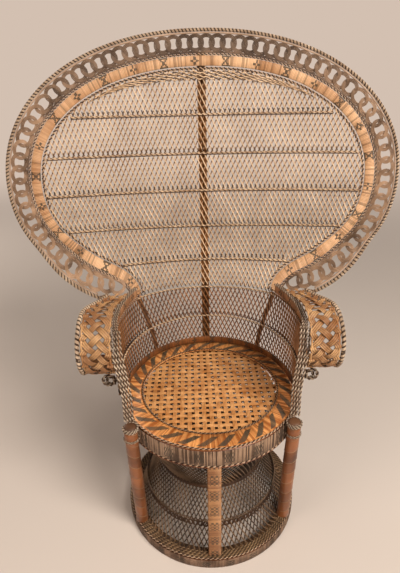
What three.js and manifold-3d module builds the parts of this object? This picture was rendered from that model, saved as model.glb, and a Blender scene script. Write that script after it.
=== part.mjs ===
// A peacock chair of rattan poles, wound cane and open lattice, in millimetres.
// +Z is up, the sitter looks towards -Y, and the floor is at zero.
// The back and the wings are drawn flat, as arc length s and height z, and then bent to their plan curve.
import * as THREE from "three";
import Module from "manifold-3d";
import { mergeVertices } from "three/addons/utils/BufferGeometryUtils.js";

const wasm = await Module();
wasm.setup();

// Gaps
const clearance = 0.3; // between pieces that touch
const bentClearance = 0.6; // the same between pieces that bend with the back
const netClearance = 1.2; // and in front of the wall's lattice
const cutOverrun = 5; // how far a cutting tool passes the face that it cuts

// Floor ring and its two poles
const baseBeyondSeat = 16;
const baseHeight = 30;
const baseWrapThickness = 3;
const baseHoopTube = 6.8; // half the thickness of a pole
const baseBraidThickness = 4;
const baseBraidWidth = 37;
const baseBraidSetback = 3; // how far the braid's outer edge lies inside the floor ring

// Hourglass stand of lattice
const waistRadius = 158;
const waistHeight = 200;
const waistHoopTube = 7;
const standToEdge = 2; // its foot, in from the inner edge of the braid
const standTopInset = 5; // its top, in from the middle of the seat's hoop
const standRowHeight = 100; // twined row round the lower cone
const netThickness = 5;
const standBar = 9; // cane left between two gaps

// Seat
const seatHeight = 428;
const seatRadius = 250;
const seatBorderWidth = 56; // from the woven panel to the seat's edge
const seatPanelThickness = 4;
const seatPanelRecess = 2.5;
const seatBorderThickness = 4;
const seatHoopTube = 8;
const apronHeight = 48;
const apronThickness = 3;
const twistTube = 2.7; // half the thickness of every twisted cane edging
const canePitch = 44; // from one gap of the woven panel to the next
const caneGap = 27;

// Legs, posts and the front slat
const legRadius = 18;
const legToApron = 4;
const legTopDegrees = 39; // round from the side, at the seat
const legFootDegrees = 30;
const legOverhang = 4; // past the braid of the floor ring
const collarRadius = 21;
const collarHeight = 16;
const slatWidth = 36;
const slatThickness = 9;
const slatInset = 2; // in from the middle of the seat's edging
const rearPostRadius = 9;
const rearPostDegrees = 40;
const spineRadius = 13;

// Plan curve of the wall round the seat and of the fan above it
const wallInset = 10; // the wall's foot, in from the seat's edge
const wallDegrees = 127; // it runs this far round the seat, each way from the back
const fanRadius = 2220; // gentle hollow of the fan
const cornerDegrees = 68.3; // turn from the middle of the back to past the corner, at arm height
const wingEase = 54; // a wing is flatter than the wall by this much of radius, at the seat
const wingHighRadius = 455; // side of the wing at the arm
const cornerInset = 50; // the corner starts so much nearer to the middle than the wall's radius
const cornerLength = 60;
const fanOpenLowAboveSeat = 72; // the wall starts to open into the fan here
const fanOpenHighAboveSeat = 372; // and has the fan's own hollow here
const cornerFullAboveSeat = 202; // the corner is sharpest here
const leanRun = 105; // how far the back leans away over leanRise
const leanRise = 950;

// Fan
const fanCentreAboveNeck = 340;
const fanHalfWidth = 472; // to the inner hoop
const fanHalfHeight = 298;
const neckStart = 300; // half width where the hoop leaves its oval for the neck
const neckPastCorner = 19; // from the start of the corner to the neck's side
const neckAboveRail = 6;
const neckPoints = 10;
const ovalPoints = 40;
const ovalPowerShare = 0.93; // below one the oval is fuller than an ellipse
const ovalNudgeShare = 0.01; // of a radian, for the slope where the neck leaves the oval
const innerHoopTube = 5;
const bandWidth = 27;
const bandThickness = 6;
const middleHoopTube = 4.5;
const loopWidth = 43;
const loopThickness = 7;
const loopBar = 8; // cane left between two windows of the looped border
const paleHoopTube = 2.2;
const rimTube = 5.3;
const crownDrop = 16; // depth of the braided crown under the hoop, at the middle
const crownReach = 330; // half its span
const crownThickness = 4;
const latticePitch = 70; // from one diamond gap to the next
const latticeHeight = 144; // of a diamond gap and its share of cane
const fanBar = 8.5;
const fanEdgeWidth = 10; // band of lattice ends right inside the hoop
const fanEdgeThickness = 6;
const fanEdgeSink = 4; // how deep the lattice runs into it
const rowHeight = 7; // twined rows across the lattice
const rowThickness = 4;
const rowAboveNeck = 86; // the lowest one
const rowSpacing = 108;

// Wall and wings
const friezeHeight = 21;
const friezeThickness = 4;
const friezeReach = 445; // arc length from the middle of the back
const wallBar = 7.5;
const railAboveSeat = 206; // light rail along the top of the lattice
const railTube = 4;
const wingRise = 12; // how much the wing's top climbs towards the front
const wingBandWidth = 26;
const wingTwistTube = 4;
const wingTopWidth = 16; // of the edging that covers the wing's top
const stripWidth = 29; // braided strip down the front edge of a wing
const stripThickness = 8;

// Arms
const armBackFromWall = 108; // its back, forward of the middle of the wall
const armBackAboveRail = 38;
const armBackWidth = 52;
const armFrontWidth = 72;
const armRise = 30; // from its back to the top of its roll
const armLength = 184; // level stretch, up to the roll
const armRollRadius = 79;
const armThickness = 6;
const armToWing = 2;
const armRollEase = 0.3; // how much further out the end of the roll stands
const armRimTube = 8;
const armBar = 13;
const armRollDegrees = 205;
const rollBarRadius = 5;
const scrollRadius = 15;
const scrollTube = 5;
const braceTube = 5;
const braceFootAboveSeat = 24;
const braceReachShare = 0.88; // of the way from the middle of the back to the wing's front edge

// Counts
const hoopSteps = 32;
const hoopSides = 6;
const poleSides = 12;
const postSides = 8;
const standGapCount = 14;
const wallGapCount = 17;
const pathSteps = 54;
const neckSlots = 4; // steps of the path that lie in the neck
const rowCount = 5;
const rowSteps = 14;
const fanFootSteps = 10;
const armBackRows = 4;
const armRollRows = 5;
const wingSteps = 9;
const braceRows = 2; // rows of the wall's lattice that a brace is fastened to
const surfaceSamples = 60;

// Sizes that follow from these
const baseRadius = seatRadius + baseBeyondSeat;
const seatPanelRadius = seatRadius - seatBorderWidth;
const wallRadius = seatRadius - wallInset;
const cornerStart = wallRadius - cornerInset; // arc length from the middle of the back
const neckHalfWidth = cornerStart + neckPastCorner;
const armBackY = wallRadius - armBackFromWall;
const armRollY = armBackY - armLength;
const fanOpenLow = seatHeight + fanOpenLowAboveSeat;
const fanOpenHigh = seatHeight + fanOpenHighAboveSeat;
const cornerFullHeight = seatHeight + cornerFullAboveSeat;
const railHeight = seatHeight + railAboveSeat;
const neckHeight = railHeight + neckAboveRail;
const fanCentreHeight = neckHeight + fanCentreAboveNeck;
const rowFirst = neckHeight + rowAboveNeck;
const armBackHeight = railHeight + armBackAboveRail;
const armTopHeight = armBackHeight + armRise;

// Materials
function cane(hex, roughness) {
  return new THREE.MeshStandardMaterial({ color: hex, roughness, metalness: 0 });
}
const tan = cane(0x9c7b58, 0.6);
const honey = cane(0xc98a4e, 0.45);
const brown = cane(0x6e4a30, 0.55);
const pale = cane(0xcdb48f, 0.6);

const chair = new THREE.Group();

function add(name, geometry, material) {
  const mesh = new THREE.Mesh(geometry, material);
  mesh.name = name;
  chair.add(mesh);
  return mesh;
}

// A piece and its mirror image on the other side of the chair.
function addPair(name, makeSide, material) {
  add(name + "_right", makeSide(1), material);
  add(name + "_left", makeSide(-1), material);
}

const smooth = (t) => THREE.MathUtils.smoothstep(t, 0, 1);
const mix = THREE.MathUtils.lerp;

// The bend of the plan at a height, as curvatures of its three arcs. Above the arm a wing goes straight up.
const wingLowRadius = wallRadius + wingEase;
const wallReach = wallRadius * THREE.MathUtils.degToRad(wallDegrees);
function curvatures(z, isWing) {
  const height = isWing ? Math.min(z, cornerFullHeight) : z;
  const open = smooth((height - fanOpenLow) / (fanOpenHigh - fanOpenLow));
  const back = mix(1 / wallRadius, 1 / fanRadius, open);
  if (!isWing) return [back, back, back];
  const share = smooth((height - fanOpenLow) / (cornerFullHeight - fanOpenLow));
  const roundTurn = (cornerStart + cornerLength) / wallRadius;
  const turned = mix(roundTurn, THREE.MathUtils.degToRad(cornerDegrees), share);
  return [
    back,
    (turned - back * cornerStart) / cornerLength,
    mix(1 / wingLowRadius, 1 / wingHighRadius, share),
  ];
}

const backY = (z) => wallRadius + ((z - seatHeight) * leanRun) / leanRise;

// Bends a flat point: s along the sheet from the middle, z up, n towards the sitter.
function bend(s, z, n, isWing) {
  const [k1, k2, k3] = curvatures(z, isWing);
  const side = Math.sign(s) || 1;
  const stretches = [
    [k1, cornerStart],
    [k2, cornerLength],
    [k3, Infinity],
  ];
  let left = Math.abs(s);
  let turned = 0;
  let x = 0;
  let y = backY(z);
  for (const [k, length] of stretches) {
    const run = Math.min(left, length);
    const next = turned + k * run;
    x += (Math.sin(next) - Math.sin(turned)) / k;
    y -= (Math.cos(turned) - Math.cos(next)) / k;
    turned = next;
    left -= run;
    if (left <= 0) break;
  }
  x -= n * Math.sin(turned);
  y -= n * Math.cos(turned);
  return new THREE.Vector3(side * x, y, z);
}
const onFan = (s, z, n) => bend(s, z, n, false);
const onWall = (s, z, n) => bend(s, z, n, true);

// A closed body from rings of points: each ring has the same count, the ends are capped.
function loft(rings, closed = false) {
  const sides = rings[0].length;
  const points = rings.flat();
  const faces = [];
  const rows = closed ? rings.length : rings.length - 1;
  for (let i = 0; i < rows; i++) {
    const a = i * sides;
    const b = ((i + 1) % rings.length) * sides;
    for (let j = 0; j < sides; j++) {
      const k = (j + 1) % sides;
      faces.push(a + j, a + k, b + k, a + j, b + k, b + j);
    }
  }
  if (!closed) {
    const last = (rings.length - 1) * sides;
    for (let j = 1; j < sides - 1; j++) {
      faces.push(0, j + 1, j);
      faces.push(last, last + j, last + j + 1);
    }
  }
  return facingOut(points, faces);
}

// Turns every face round when the body came out inside out.
function facingOut(points, faces) {
  let volume = 0;
  for (let i = 0; i < faces.length; i += 3) {
    const [a, b, c] = [points[faces[i]], points[faces[i + 1]], points[faces[i + 2]]];
    volume += a.dot(new THREE.Vector3().crossVectors(b, c));
  }
  if (volume < 0)
    for (let i = 0; i < faces.length; i += 3) [faces[i + 1], faces[i + 2]] = [faces[i + 2], faces[i + 1]];
  const geometry = new THREE.BufferGeometry().setFromPoints(points);
  geometry.setIndex(faces);
  return geometry;
}

// Corner points of a round section, with a flat side down when the count is even.
function roundSection(radius, sides) {
  return Array.from({ length: sides }, (_, i) => {
    const a = (2 * Math.PI * i) / sides;
    return [radius * Math.cos(a), radius * Math.sin(a)];
  });
}

function boxSection(width, thickness) {
  const [w, t] = [width / 2, thickness / 2];
  return [
    [w, -t],
    [w, t],
    [-w, t],
    [-w, -t],
  ];
}

// A closed ring round the seat axis whose section is given as radius and height.
function ring(profile, steps = hoopSteps) {
  const section = [...profile, profile[0]].map(([r, z]) => new THREE.Vector2(r, z));
  const geometry = new THREE.LatheGeometry(section, steps);
  geometry.rotateX(Math.PI / 2);
  geometry.deleteAttribute("normal");
  geometry.deleteAttribute("uv");
  const merged = mergeVertices(geometry, clearance / 10);
  const position = merged.getAttribute("position");
  const points = Array.from({ length: position.count }, (_, i) =>
    new THREE.Vector3().fromBufferAttribute(position, i),
  );
  return facingOut(points, [...merged.index.array]);
}

const hoop = (radius, z, tube, sides = hoopSides) =>
  ring(roundSection(tube, sides).map(([a, b]) => [radius + a, z + b]));

const flatRing = (inner, outer, low, high) =>
  ring([
    [inner, low],
    [outer, low],
    [outer, high],
    [inner, high],
  ]);

// The same with a square section, whose half width is given.
const squareHoop = (radius, z, half) => flatRing(radius - half, radius + half, z - half, z + half);

// How far a flat side of a hoop's section lies from its middle.
const flatOf = (tube, sides = hoopSides) => tube * Math.cos(Math.PI / sides);

// A straight round pole from one point to another.
function pole(from, to, radius, sides = poleSides) {
  const axis = new THREE.Vector3().subVectors(to, from);
  const geometry = new THREE.CylinderGeometry(radius, radius, axis.length(), sides);
  geometry.rotateX(Math.PI / 2);
  geometry.lookAt(axis);
  geometry.translate(...new THREE.Vector3().addVectors(from, to).multiplyScalar(0.5).toArray());
  return geometry;
}

// Stations of a flat path: its points and their outward directions, to the left of the way that it runs.
function stationsOf(path, isClosed = false) {
  const last = path.length - 1;
  return path.map((p, i) => {
    const before = path[i > 0 ? i - 1 : isClosed ? last : 0];
    const after = path[i < last ? i + 1 : isClosed ? 0 : last];
    const along = new THREE.Vector2().subVectors(after, before).normalize();
    return { p, out: new THREE.Vector2(-along.y, along.x) };
  });
}
const shifted = ({ p, out }, offset) => p.clone().addScaledVector(out, offset);

// A bar along stations, moved out from them, whose section is given as (outwards, towards the sitter).
function sheetBar(stations, offset, section, place, n = 0, isClosed = false) {
  return loft(
    stations.map((station) =>
      section.map(([a, b]) => {
        const q = shifted(station, offset + a);
        return place(q.x, q.y, n + b);
      }),
    ),
    isClosed,
  );
}

// A sheet of open cells: corner(i, j, n) gives a cell corner, and every cell has one gap.
// A diamond gap touches the middles of the cell's sides, and a window is the cell made smaller.
function cellNet(columns, rows, corner, thickness, barShare, isDiamond, isClosed = false) {
  const points = [];
  const faces = [];
  const half = thickness / 2;
  const across = isClosed ? columns : columns + 1;
  const grid = [half, -half].map((n) => {
    const first = points.length;
    for (let i = 0; i < across; i++)
      for (let j = 0; j <= rows; j++) points.push(corner(i, j, n));
    return (i, j) => first + (i % across) * (rows + 1) + j;
  });
  const low = barShare / 2;
  const high = 1 - low;
  const window = [
    [low, low],
    [high, low],
    [high, high],
    [low, high],
  ];
  const diamond = [
    [0.5, low],
    [high, 0.5],
    [0.5, high],
    [low, 0.5],
  ];
  const quad = (a, b, c, d) => faces.push(a, b, c, a, c, d);
  const gap = isDiamond ? diamond : window;
  for (let i = 0; i < columns; i++)
    for (let j = 0; j < rows; j++) {
      const holes = [half, -half].map((n, k) => {
        const first = points.length;
        gap.forEach(([u, v]) => points.push(corner(i + u, j + v, n)));
        const outer = [grid[k](i, j), grid[k](i + 1, j), grid[k](i + 1, j + 1), grid[k](i, j + 1)];
        const inner = gap.map((_, m) => first + m);
        for (let m = 0; m < gap.length; m++) {
          const next = (m + 1) % gap.length;
          const turn = k === 0 ? (a, b, c) => faces.push(a, b, c) : (a, b, c) => faces.push(a, c, b);
          turn(outer[m], outer[next], inner[m]);
          turn(outer[next], inner[next], inner[m]);
        }
        return inner;
      });
      for (let m = 0; m < gap.length; m++) {
        const next = (m + 1) % gap.length;
        quad(holes[0][m], holes[0][next], holes[1][next], holes[1][m]);
      }
    }
  const [top, bottom] = grid;
  for (let i = 0; i < columns; i++) {
    quad(top(i + 1, 0), top(i, 0), bottom(i, 0), bottom(i + 1, 0));
    quad(top(i, rows), top(i + 1, rows), bottom(i + 1, rows), bottom(i, rows));
  }
  if (!isClosed)
    for (let j = 0; j < rows; j++) {
      quad(top(0, j), top(0, j + 1), bottom(0, j + 1), bottom(0, j));
      quad(top(columns, j + 1), top(columns, j), bottom(columns, j), bottom(columns, j + 1));
    }
  return facingOut(points, faces);
}

// A sheet of crossed canes. Crossings lie at corner(i, j, n) where i + j is even, and a gap lies at each odd
// place.
// Columns and rows are even counts of half gaps, and the edges are closed by a bar.
function lattice(columns, rows, corner, thickness, barShare, isClosed = false) {
  const points = [];
  const faces = [];
  const known = new Map();
  const wrap = (i) => (isClosed ? (i + columns) % columns : i);
  const at = (i, j, side, n) => {
    const key = [wrap(i), j, side, n].join();
    if (!known.has(key)) {
      const [u, v] = spot(i, j, side);
      known.set(key, points.length);
      points.push(corner(u, v, (n * thickness) / 2));
    }
    return known.get(key);
  };
  // The four tips of a gap, and the edge place of a crossing.
  const reach = 1 - barShare;
  const spot = (i, j, side) => {
    if (side === "edge") return [i, j];
    const [di, dj] = { right: [1, 0], left: [-1, 0], up: [0, 1], down: [0, -1] }[side];
    const [u, v] = [i + di * reach, j + dj * reach];
    if (dj === 0 && j === 0) return [u - di * barShare, barShare];
    if (dj === 0 && j === rows) return [u - di * barShare, rows - barShare];
    if (!isClosed && di === 0 && i === 0) return [barShare, v - dj * barShare];
    if (!isClosed && di === 0 && i === columns) return [columns - barShare, v - dj * barShare];
    return [u, v];
  };
  const isIn = (i, j) => j >= 0 && j <= rows && (isClosed || (i >= 0 && i <= columns));
  const fill = (corners) => {
    const front = corners.map((c) => at(...c, 1));
    const back = corners.map((c) => at(...c, -1));
    for (let k = 1; k < corners.length - 1; k++) {
      faces.push(front[0], front[k], front[k + 1]);
      faces.push(back[0], back[k + 1], back[k]);
    }
  };
  const wall = (a, b) => {
    const [p, q, r, s] = [at(...a, 1), at(...b, 1), at(...b, -1), at(...a, -1)];
    faces.push(p, q, r, p, r, s);
  };
  const lastColumn = isClosed ? columns - 1 : columns;
  for (let i = 0; i <= lastColumn; i++)
    for (let j = 0; j <= rows; j++) {
      const atSide = !isClosed && (i === 0 || i === columns);
      if ((i + j) % 2 === 0) {
        // A crossing, bounded by the tips of the gaps round it, or by the sheet's edge.
        const edge = [i, j, "edge"];
        const round = [
          isIn(i + 1, j) ? [i + 1, j, "left"] : edge,
          isIn(i, j + 1) ? [i, j + 1, "down"] : edge,
          isIn(i - 1, j) ? [i - 1, j, "right"] : edge,
          isIn(i, j - 1) ? [i, j - 1, "up"] : edge,
        ];
        const first = Math.max(round.indexOf(edge), 0);
        const turned = [...round.slice(first), ...round.slice(0, first)];
        fill(turned.filter((c, k) => c !== turned[(k + 1) % turned.length]));
        // Bars up to the right and down to the right.
        if (isIn(i + 1, j + 1) && (isClosed || i < columns) && j < rows)
          fill([
            [i + 1, j, "left"],
            [i + 1, j, "up"],
            [i, j + 1, "right"],
            [i, j + 1, "down"],
          ]);
        if (isIn(i + 1, j - 1) && (isClosed || i < columns) && j > 0)
          fill([
            [i + 1, j, "down"],
            [i + 1, j, "left"],
            [i, j - 1, "up"],
            [i, j - 1, "right"],
          ]);
        continue;
      }
      const tips = [
        [i, j, "right"],
        [i, j, "up"],
        [i, j, "left"],
        [i, j, "down"],
      ];
      const skipped = {
        down: j === 0,
        up: j === rows,
        left: !isClosed && i === 0,
        right: !isClosed && i === columns,
      };
      const kept = tips.filter(([, , side]) => !skipped[side]);
      kept.forEach((tip, k) => wall(tip, kept[(k + 1) % kept.length]));
      // The bar along the sheet's own edge, from the crossing before the gap to the one after it.
      const [rightTip, upTip, leftTip, downTip] = tips;
      const edgeBar = (before, after, near, far) => {
        const own = [i, j, "edge"];
        fill([own, after, near, far, before]);
        wall(after, own);
        wall(own, before);
      };
      if (j === 0) edgeBar([i - 1, j, "edge"], [i + 1, j, "edge"], rightTip, leftTip);
      if (j === rows) edgeBar([i + 1, j, "edge"], [i - 1, j, "edge"], leftTip, rightTip);
      if (atSide && i === 0) edgeBar([i, j + 1, "edge"], [i, j - 1, "edge"], downTip, upTip);
      if (atSide && i === columns) edgeBar([i, j - 1, "edge"], [i, j + 1, "edge"], upTip, downTip);
    }
  return facingOut(points, faces);
}

// The share of half a gap that one side of a bar takes, for a bar of a given width.
const barShareOf = (bar, halfWidth, halfHeight) =>
  (bar * Math.hypot(halfWidth, halfHeight)) / (2 * halfWidth * halfHeight);

function solidOf(geometry) {
  const bare = new THREE.BufferGeometry().setAttribute("position", geometry.getAttribute("position"));
  if (geometry.index) bare.setIndex(geometry.index);
  const merged = mergeVertices(bare, clearance / 100);
  return new wasm.Manifold(
    new wasm.Mesh({
      numProp: 3,
      vertProperties: merged.getAttribute("position").array,
      triVerts: new Uint32Array(merged.index.array),
    }),
  );
}

function geometryOf(solid) {
  const { vertProperties, triVerts } = solid.getMesh();
  return new THREE.BufferGeometry()
    .setAttribute("position", new THREE.BufferAttribute(vertProperties, 3))
    .setIndex(new THREE.BufferAttribute(triVerts, 1));
}

// Flat outline of the fan's inner hoop, from the left neck over the top to the right neck.
function ovalPoint(angle) {
  const full = (v) => Math.sign(v) * Math.abs(v) ** ovalPowerShare;
  return new THREE.Vector2(
    fanHalfWidth * full(Math.cos(angle)),
    fanCentreHeight + fanHalfHeight * full(Math.sin(angle)),
  );
}

function hoopPath() {
  const startAngle = -Math.acos((neckStart / fanHalfWidth) ** (1 / ovalPowerShare));
  const start = ovalPoint(startAngle);
  const nudge = new THREE.Vector2().subVectors(ovalPoint(startAngle + ovalNudgeShare), start);
  const drop = ((start.x - neckHalfWidth) * nudge.y) / nudge.x;
  const neck = new THREE.QuadraticBezierCurve(
    start,
    new THREE.Vector2(neckHalfWidth, start.y - drop),
    new THREE.Vector2(neckHalfWidth, neckHeight),
  );
  const right = neck.getPoints(neckPoints).slice(1).reverse();
  for (let i = 0; i <= ovalPoints; i++)
    right.push(ovalPoint(mix(startAngle, Math.PI / 2, i / ovalPoints)));
  const left = right.slice(0, -1).map((p) => new THREE.Vector2(-p.x, p.y));
  const curve = new THREE.SplineCurve([...left, ...right.reverse()]);
  curve.arcLengthDivisions = 4 * curve.points.length;
  return curve.getSpacedPoints(pathSteps);
}

const wholePath = hoopPath();
const wholeStations = stationsOf(wholePath);
const fanStations = wholeStations.slice(neckSlots, -neckSlots);

// Offsets of the border's pieces, out from the inner hoop.
const bandOffset = innerHoopTube + bentClearance + bandWidth / 2;
const middleOffset = bandOffset + bandWidth / 2 + bentClearance + middleHoopTube;
const loopInner = middleOffset + middleHoopTube + bentClearance;
const paleOffset = loopInner + loopWidth + bentClearance + paleHoopTube;
const rimOffset = paleOffset + paleHoopTube + bentClearance + rimTube;

// Floor ring: two poles behind a wound band, with a braid on top that the stand and the legs rise from.
const baseHoopRadius = baseRadius - baseWrapThickness - clearance - baseHoopTube;
const baseTopHoopZ = baseHeight - baseHoopTube;
add("base_hoop_bottom", squareHoop(baseHoopRadius, baseHoopTube, baseHoopTube), brown);
add("base_hoop_top", squareHoop(baseHoopRadius, baseTopHoopZ, baseHoopTube), brown);
add("base_wrap", flatRing(baseRadius - baseWrapThickness, baseRadius, 0, baseHeight), tan);
const braidLow = baseHeight + clearance;
const braidTop = braidLow + baseBraidThickness;
const braidOuter = baseRadius - baseBraidSetback;
add("base_braid", flatRing(braidOuter - baseBraidWidth, braidOuter, braidLow, braidTop), tan);

// Seat frame: two hoops, a wound apron, a wound border and the woven panel in it.
const seatHoopRadius = seatRadius - clearance - seatHoopTube;
const apronTop = seatHeight - seatBorderThickness - clearance;
const seatUpperZ = apronTop - seatHoopTube;
const apronLow = apronTop - apronHeight;
const seatLowerZ = apronLow + seatHoopTube;
add("seat_hoop_upper", squareHoop(seatHoopRadius, seatUpperZ, seatHoopTube), brown);
add("seat_hoop_lower", squareHoop(seatHoopRadius, seatLowerZ, seatHoopTube), brown);
add("seat_apron", flatRing(seatRadius, seatRadius + apronThickness, apronLow, apronTop), tan);
const borderLow = seatHeight - seatBorderThickness;
const borderInner = seatPanelRadius + clearance;
add("seat_border", flatRing(borderInner, seatRadius, borderLow, seatHeight), honey);

// A square-mesh disc: gaps on a square pitch, wherever a whole gap clears the edge.
function wovenPanel() {
  const top = seatHeight - seatPanelRecess;
  const disc = new THREE.Shape();
  disc.setFromPoints(
    roundSection(seatPanelRadius, hoopSteps).map(([x, y]) => new THREE.Vector2(x, y)),
  );
  const count = Math.ceil(seatPanelRadius / canePitch);
  const half = caneGap / 2;
  for (let i = -count; i <= count; i++)
    for (let j = -count; j <= count; j++) {
      const [x, y] = [i * canePitch, j * canePitch];
      if (Math.hypot(x, y) + half * Math.SQRT2 > seatPanelRadius - half / 2) continue;
      const gap = [
        [half, 0],
        [0, half],
        [-half, 0],
        [0, -half],
      ];
      disc.holes.push(new THREE.Path(gap.map(([a, b]) => new THREE.Vector2(x + a, y + b))));
    }
  const panel = new THREE.ExtrudeGeometry(disc, {
    depth: seatPanelThickness,
    bevelEnabled: false,
  });
  return panel.translate(0, 0, top - seatPanelThickness);
}
add("seat_panel", wovenPanel(), honey);

const bindingZ = seatHeight + clearance + twistTube;
add("seat_panel_binding", squareHoop(borderInner + twistTube, bindingZ, twistTube), pale);
add("seat_edge_twist_top", squareHoop(seatRadius, bindingZ, twistTube), pale);
const edgeTwistLowZ = apronLow - clearance - twistTube;
add("seat_edge_twist_bottom", squareHoop(seatRadius, edgeTwistLowZ, twistTube), pale);

// Two crossed bars carry the panel: the upper one butts against its hoop, the lower one lies on its own.
const panelLow = seatHeight - seatPanelRecess - seatPanelThickness;
const lowerHoopTop = seatLowerZ + seatHoopTube;
const crossBarRadius = (panelLow - lowerHoopTop - 3 * clearance) / 4;
const upperBarZ = panelLow - clearance - crossBarRadius;
const lowerBarZ = lowerHoopTop + clearance + crossBarRadius;
const upperBarReach = (seatHoopRadius - seatHoopTube) * Math.cos(Math.PI / hoopSteps) - clearance;
const crossBar = (x, y, z) => pole(new THREE.Vector3(-x, -y, z), new THREE.Vector3(x, y, z), crossBarRadius);
add("seat_cross_bar_upper", crossBar(upperBarReach, 0, upperBarZ), brown);
add("seat_cross_bar_lower", crossBar(0, seatHoopRadius, lowerBarZ), brown);

// Hourglass stand: two lattice cones that meet at a hoop, and a twined row round the lower one.
const standColumns = 2 * standGapCount;
const standRows = 2;
function standNet(lowRadius, lowZ, highRadius, highZ) {
  const slope = new THREE.Vector2(highRadius - lowRadius, highZ - lowZ).normalize();
  const halfWidth = (2 * Math.PI * waistRadius) / standColumns;
  const barShare = barShareOf(standBar, halfWidth, (highZ - lowZ) / standRows);
  const corner = (i, j, n) => {
    const angle = (2 * Math.PI * i) / standColumns;
    const radius = mix(lowRadius, highRadius, j / standRows) + n * slope.y;
    const z = mix(lowZ, highZ, j / standRows);
    return new THREE.Vector3(radius * Math.sin(angle), -radius * Math.cos(angle), z);
  };
  return lattice(standColumns, standRows, corner, netThickness, barShare, true);
}
const standFootZ = braidTop + clearance;
const standTopZ = apronLow - clearance;
const standFootRadius = braidOuter - baseBraidWidth + standToEdge;
const standTopRadius = seatHoopRadius - standTopInset;
const waistReach = flatOf(waistHoopTube) + clearance;
const lowerTopZ = waistHeight - waistReach;
add("stand_net_lower", standNet(standFootRadius, standFootZ, waistRadius, lowerTopZ), tan);
add("stand_waist_hoop", hoop(waistRadius, waistHeight, waistHoopTube), brown);
add("stand_net_upper", standNet(waistRadius, waistHeight + waistReach, standTopRadius, standTopZ), tan);
function standRow() {
  const radiusAt = (z) => mix(standFootRadius, waistRadius, (z - standFootZ) / (lowerTopZ - standFootZ));
  const [low, high] = [standRowHeight - rowHeight / 2, standRowHeight + rowHeight / 2];
  const inside = netThickness / 2 + netClearance;
  return ring([
    [radiusAt(low) + inside, low],
    [radiusAt(low) + inside + rowThickness, low],
    [radiusAt(high) + inside + rowThickness, high],
    [radiusAt(high) + inside, high],
  ]);
}
add("stand_row", standRow(), brown);

// Front legs lean in to the floor ring, and each ends at the seat in a collar.
const legFootZ = braidTop + clearance;
const legTopZ = seatHeight - clearance;
const legTopAway = seatRadius + apronThickness + legToApron + legRadius;
const legFootAway = braidOuter - legRadius + legOverhang;
function polar(side, degrees, away, z) {
  const angle = THREE.MathUtils.degToRad(degrees);
  return new THREE.Vector3(side * away * Math.cos(angle), -away * Math.sin(angle), z);
}
const legAxisAt = (side, z) =>
  polar(side, legFootDegrees, legFootAway, legFootZ).lerp(
    polar(side, legTopDegrees, legTopAway, legTopZ),
    (z - legFootZ) / (legTopZ - legFootZ),
  );
// The ends of a leaning pole are cut level.
function levelPole(axisAt, low, high, radius, sides = poleSides) {
  return loft([low, high].map((z) => levelRing(axisAt(z), radius, sides)));
}
function levelRing(middle, radius, sides) {
  const section = roundSection(radius, sides);
  return section.map(([a, b]) => new THREE.Vector3(middle.x + a, middle.y + b, middle.z));
}
addPair("front_leg", (side) => levelPole((z) => legAxisAt(side, z), legFootZ, legTopZ, legRadius), honey);
const collarTop = legTopZ + clearance + collarHeight;
const collarFoot = legTopZ + clearance;
const collarMiddle = (side, z) => polar(side, legTopDegrees, legTopAway, z);
addPair(
  "leg_collar",
  (side) => levelPole((z) => collarMiddle(side, z), collarFoot, collarTop, collarRadius),
  tan,
);

// Flat slat in the middle of the front, from the floor ring's braid to the apron's edging.
function slat() {
  const low = braidTop + clearance;
  const high = edgeTwistLowZ - twistTube - clearance;
  const box = new THREE.BoxGeometry(slatWidth, slatThickness, high - low);
  return box.translate(0, slatInset - seatRadius, (low + high) / 2);
}
add("front_slat", slat(), honey);

// Rear posts stand on the floor ring, pass outside the seat and end against the corners of the wall.
const friezeLow = bindingZ + twistTube + clearance;
const wallLow = friezeLow;
const wallHigh = railHeight - railTube - clearance;
const wallColumns = 2 * wallGapCount;
const wallRows = 4;
const wallStep = (2 * wallReach) / wallColumns;
function rearPost(side) {
  const outward = rearPostDegrees - 90;
  const away = seatRadius + twistTube + clearance + rearPostRadius;
  const cornerS = Math.round((cornerStart + cornerLength / 2) / wallStep) * wallStep;
  const behind = netThickness / 2 + 2 * clearance + rearPostRadius;
  return loft(
    [
      polar(side, outward, braidOuter - rearPostRadius, legFootZ),
      polar(side, outward, away, apronLow - 2 * twistTube),
      polar(side, outward, away, friezeLow),
      onWall(side * cornerS, wallHigh, -behind),
    ].map((middle) => levelRing(middle, rearPostRadius, postSides)),
  );
}
addPair("rear_post", rearPost, brown);

// Spine: a pole from the floor ring, past the seat and up the middle of the back, behind the hoops.
const spineBehind = Math.max(innerHoopTube, middleHoopTube) + clearance + spineRadius;
const spineAway = seatRadius + apronThickness + clearance + spineRadius;
const spineTop = onFan(0, fanCentreHeight + fanHalfHeight + loopInner, -spineBehind);
const spineMiddles = [
  new THREE.Vector3(0, braidOuter - spineRadius, legFootZ),
  new THREE.Vector3(0, spineAway, apronLow - 2 * twistTube),
  new THREE.Vector3(0, spineAway, friezeLow),
  spineTop,
];
add("back_spine", loft(spineMiddles.map((middle) => levelRing(middle, spineRadius, poleSides))), brown);

// Lattice round the seat, up to the rail, and the frieze at its foot. The wing's top climbs to the front.
const wingLift = (s) =>
  wingRise * smooth((Math.abs(s) - cornerStart) / (wallReach - cornerStart));
function wallNet() {
  const barShare = barShareOf(wallBar, wallStep, (wallHigh - wallLow) / wallRows);
  const corner = (i, j, n) => {
    const s = i * wallStep - wallReach;
    return onWall(s, mix(wallLow, wallHigh + wingLift(s), j / wallRows), n);
  };
  return lattice(wallColumns, wallRows, corner, netThickness, barShare);
}
add("wall_net", wallNet(), tan);

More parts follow.
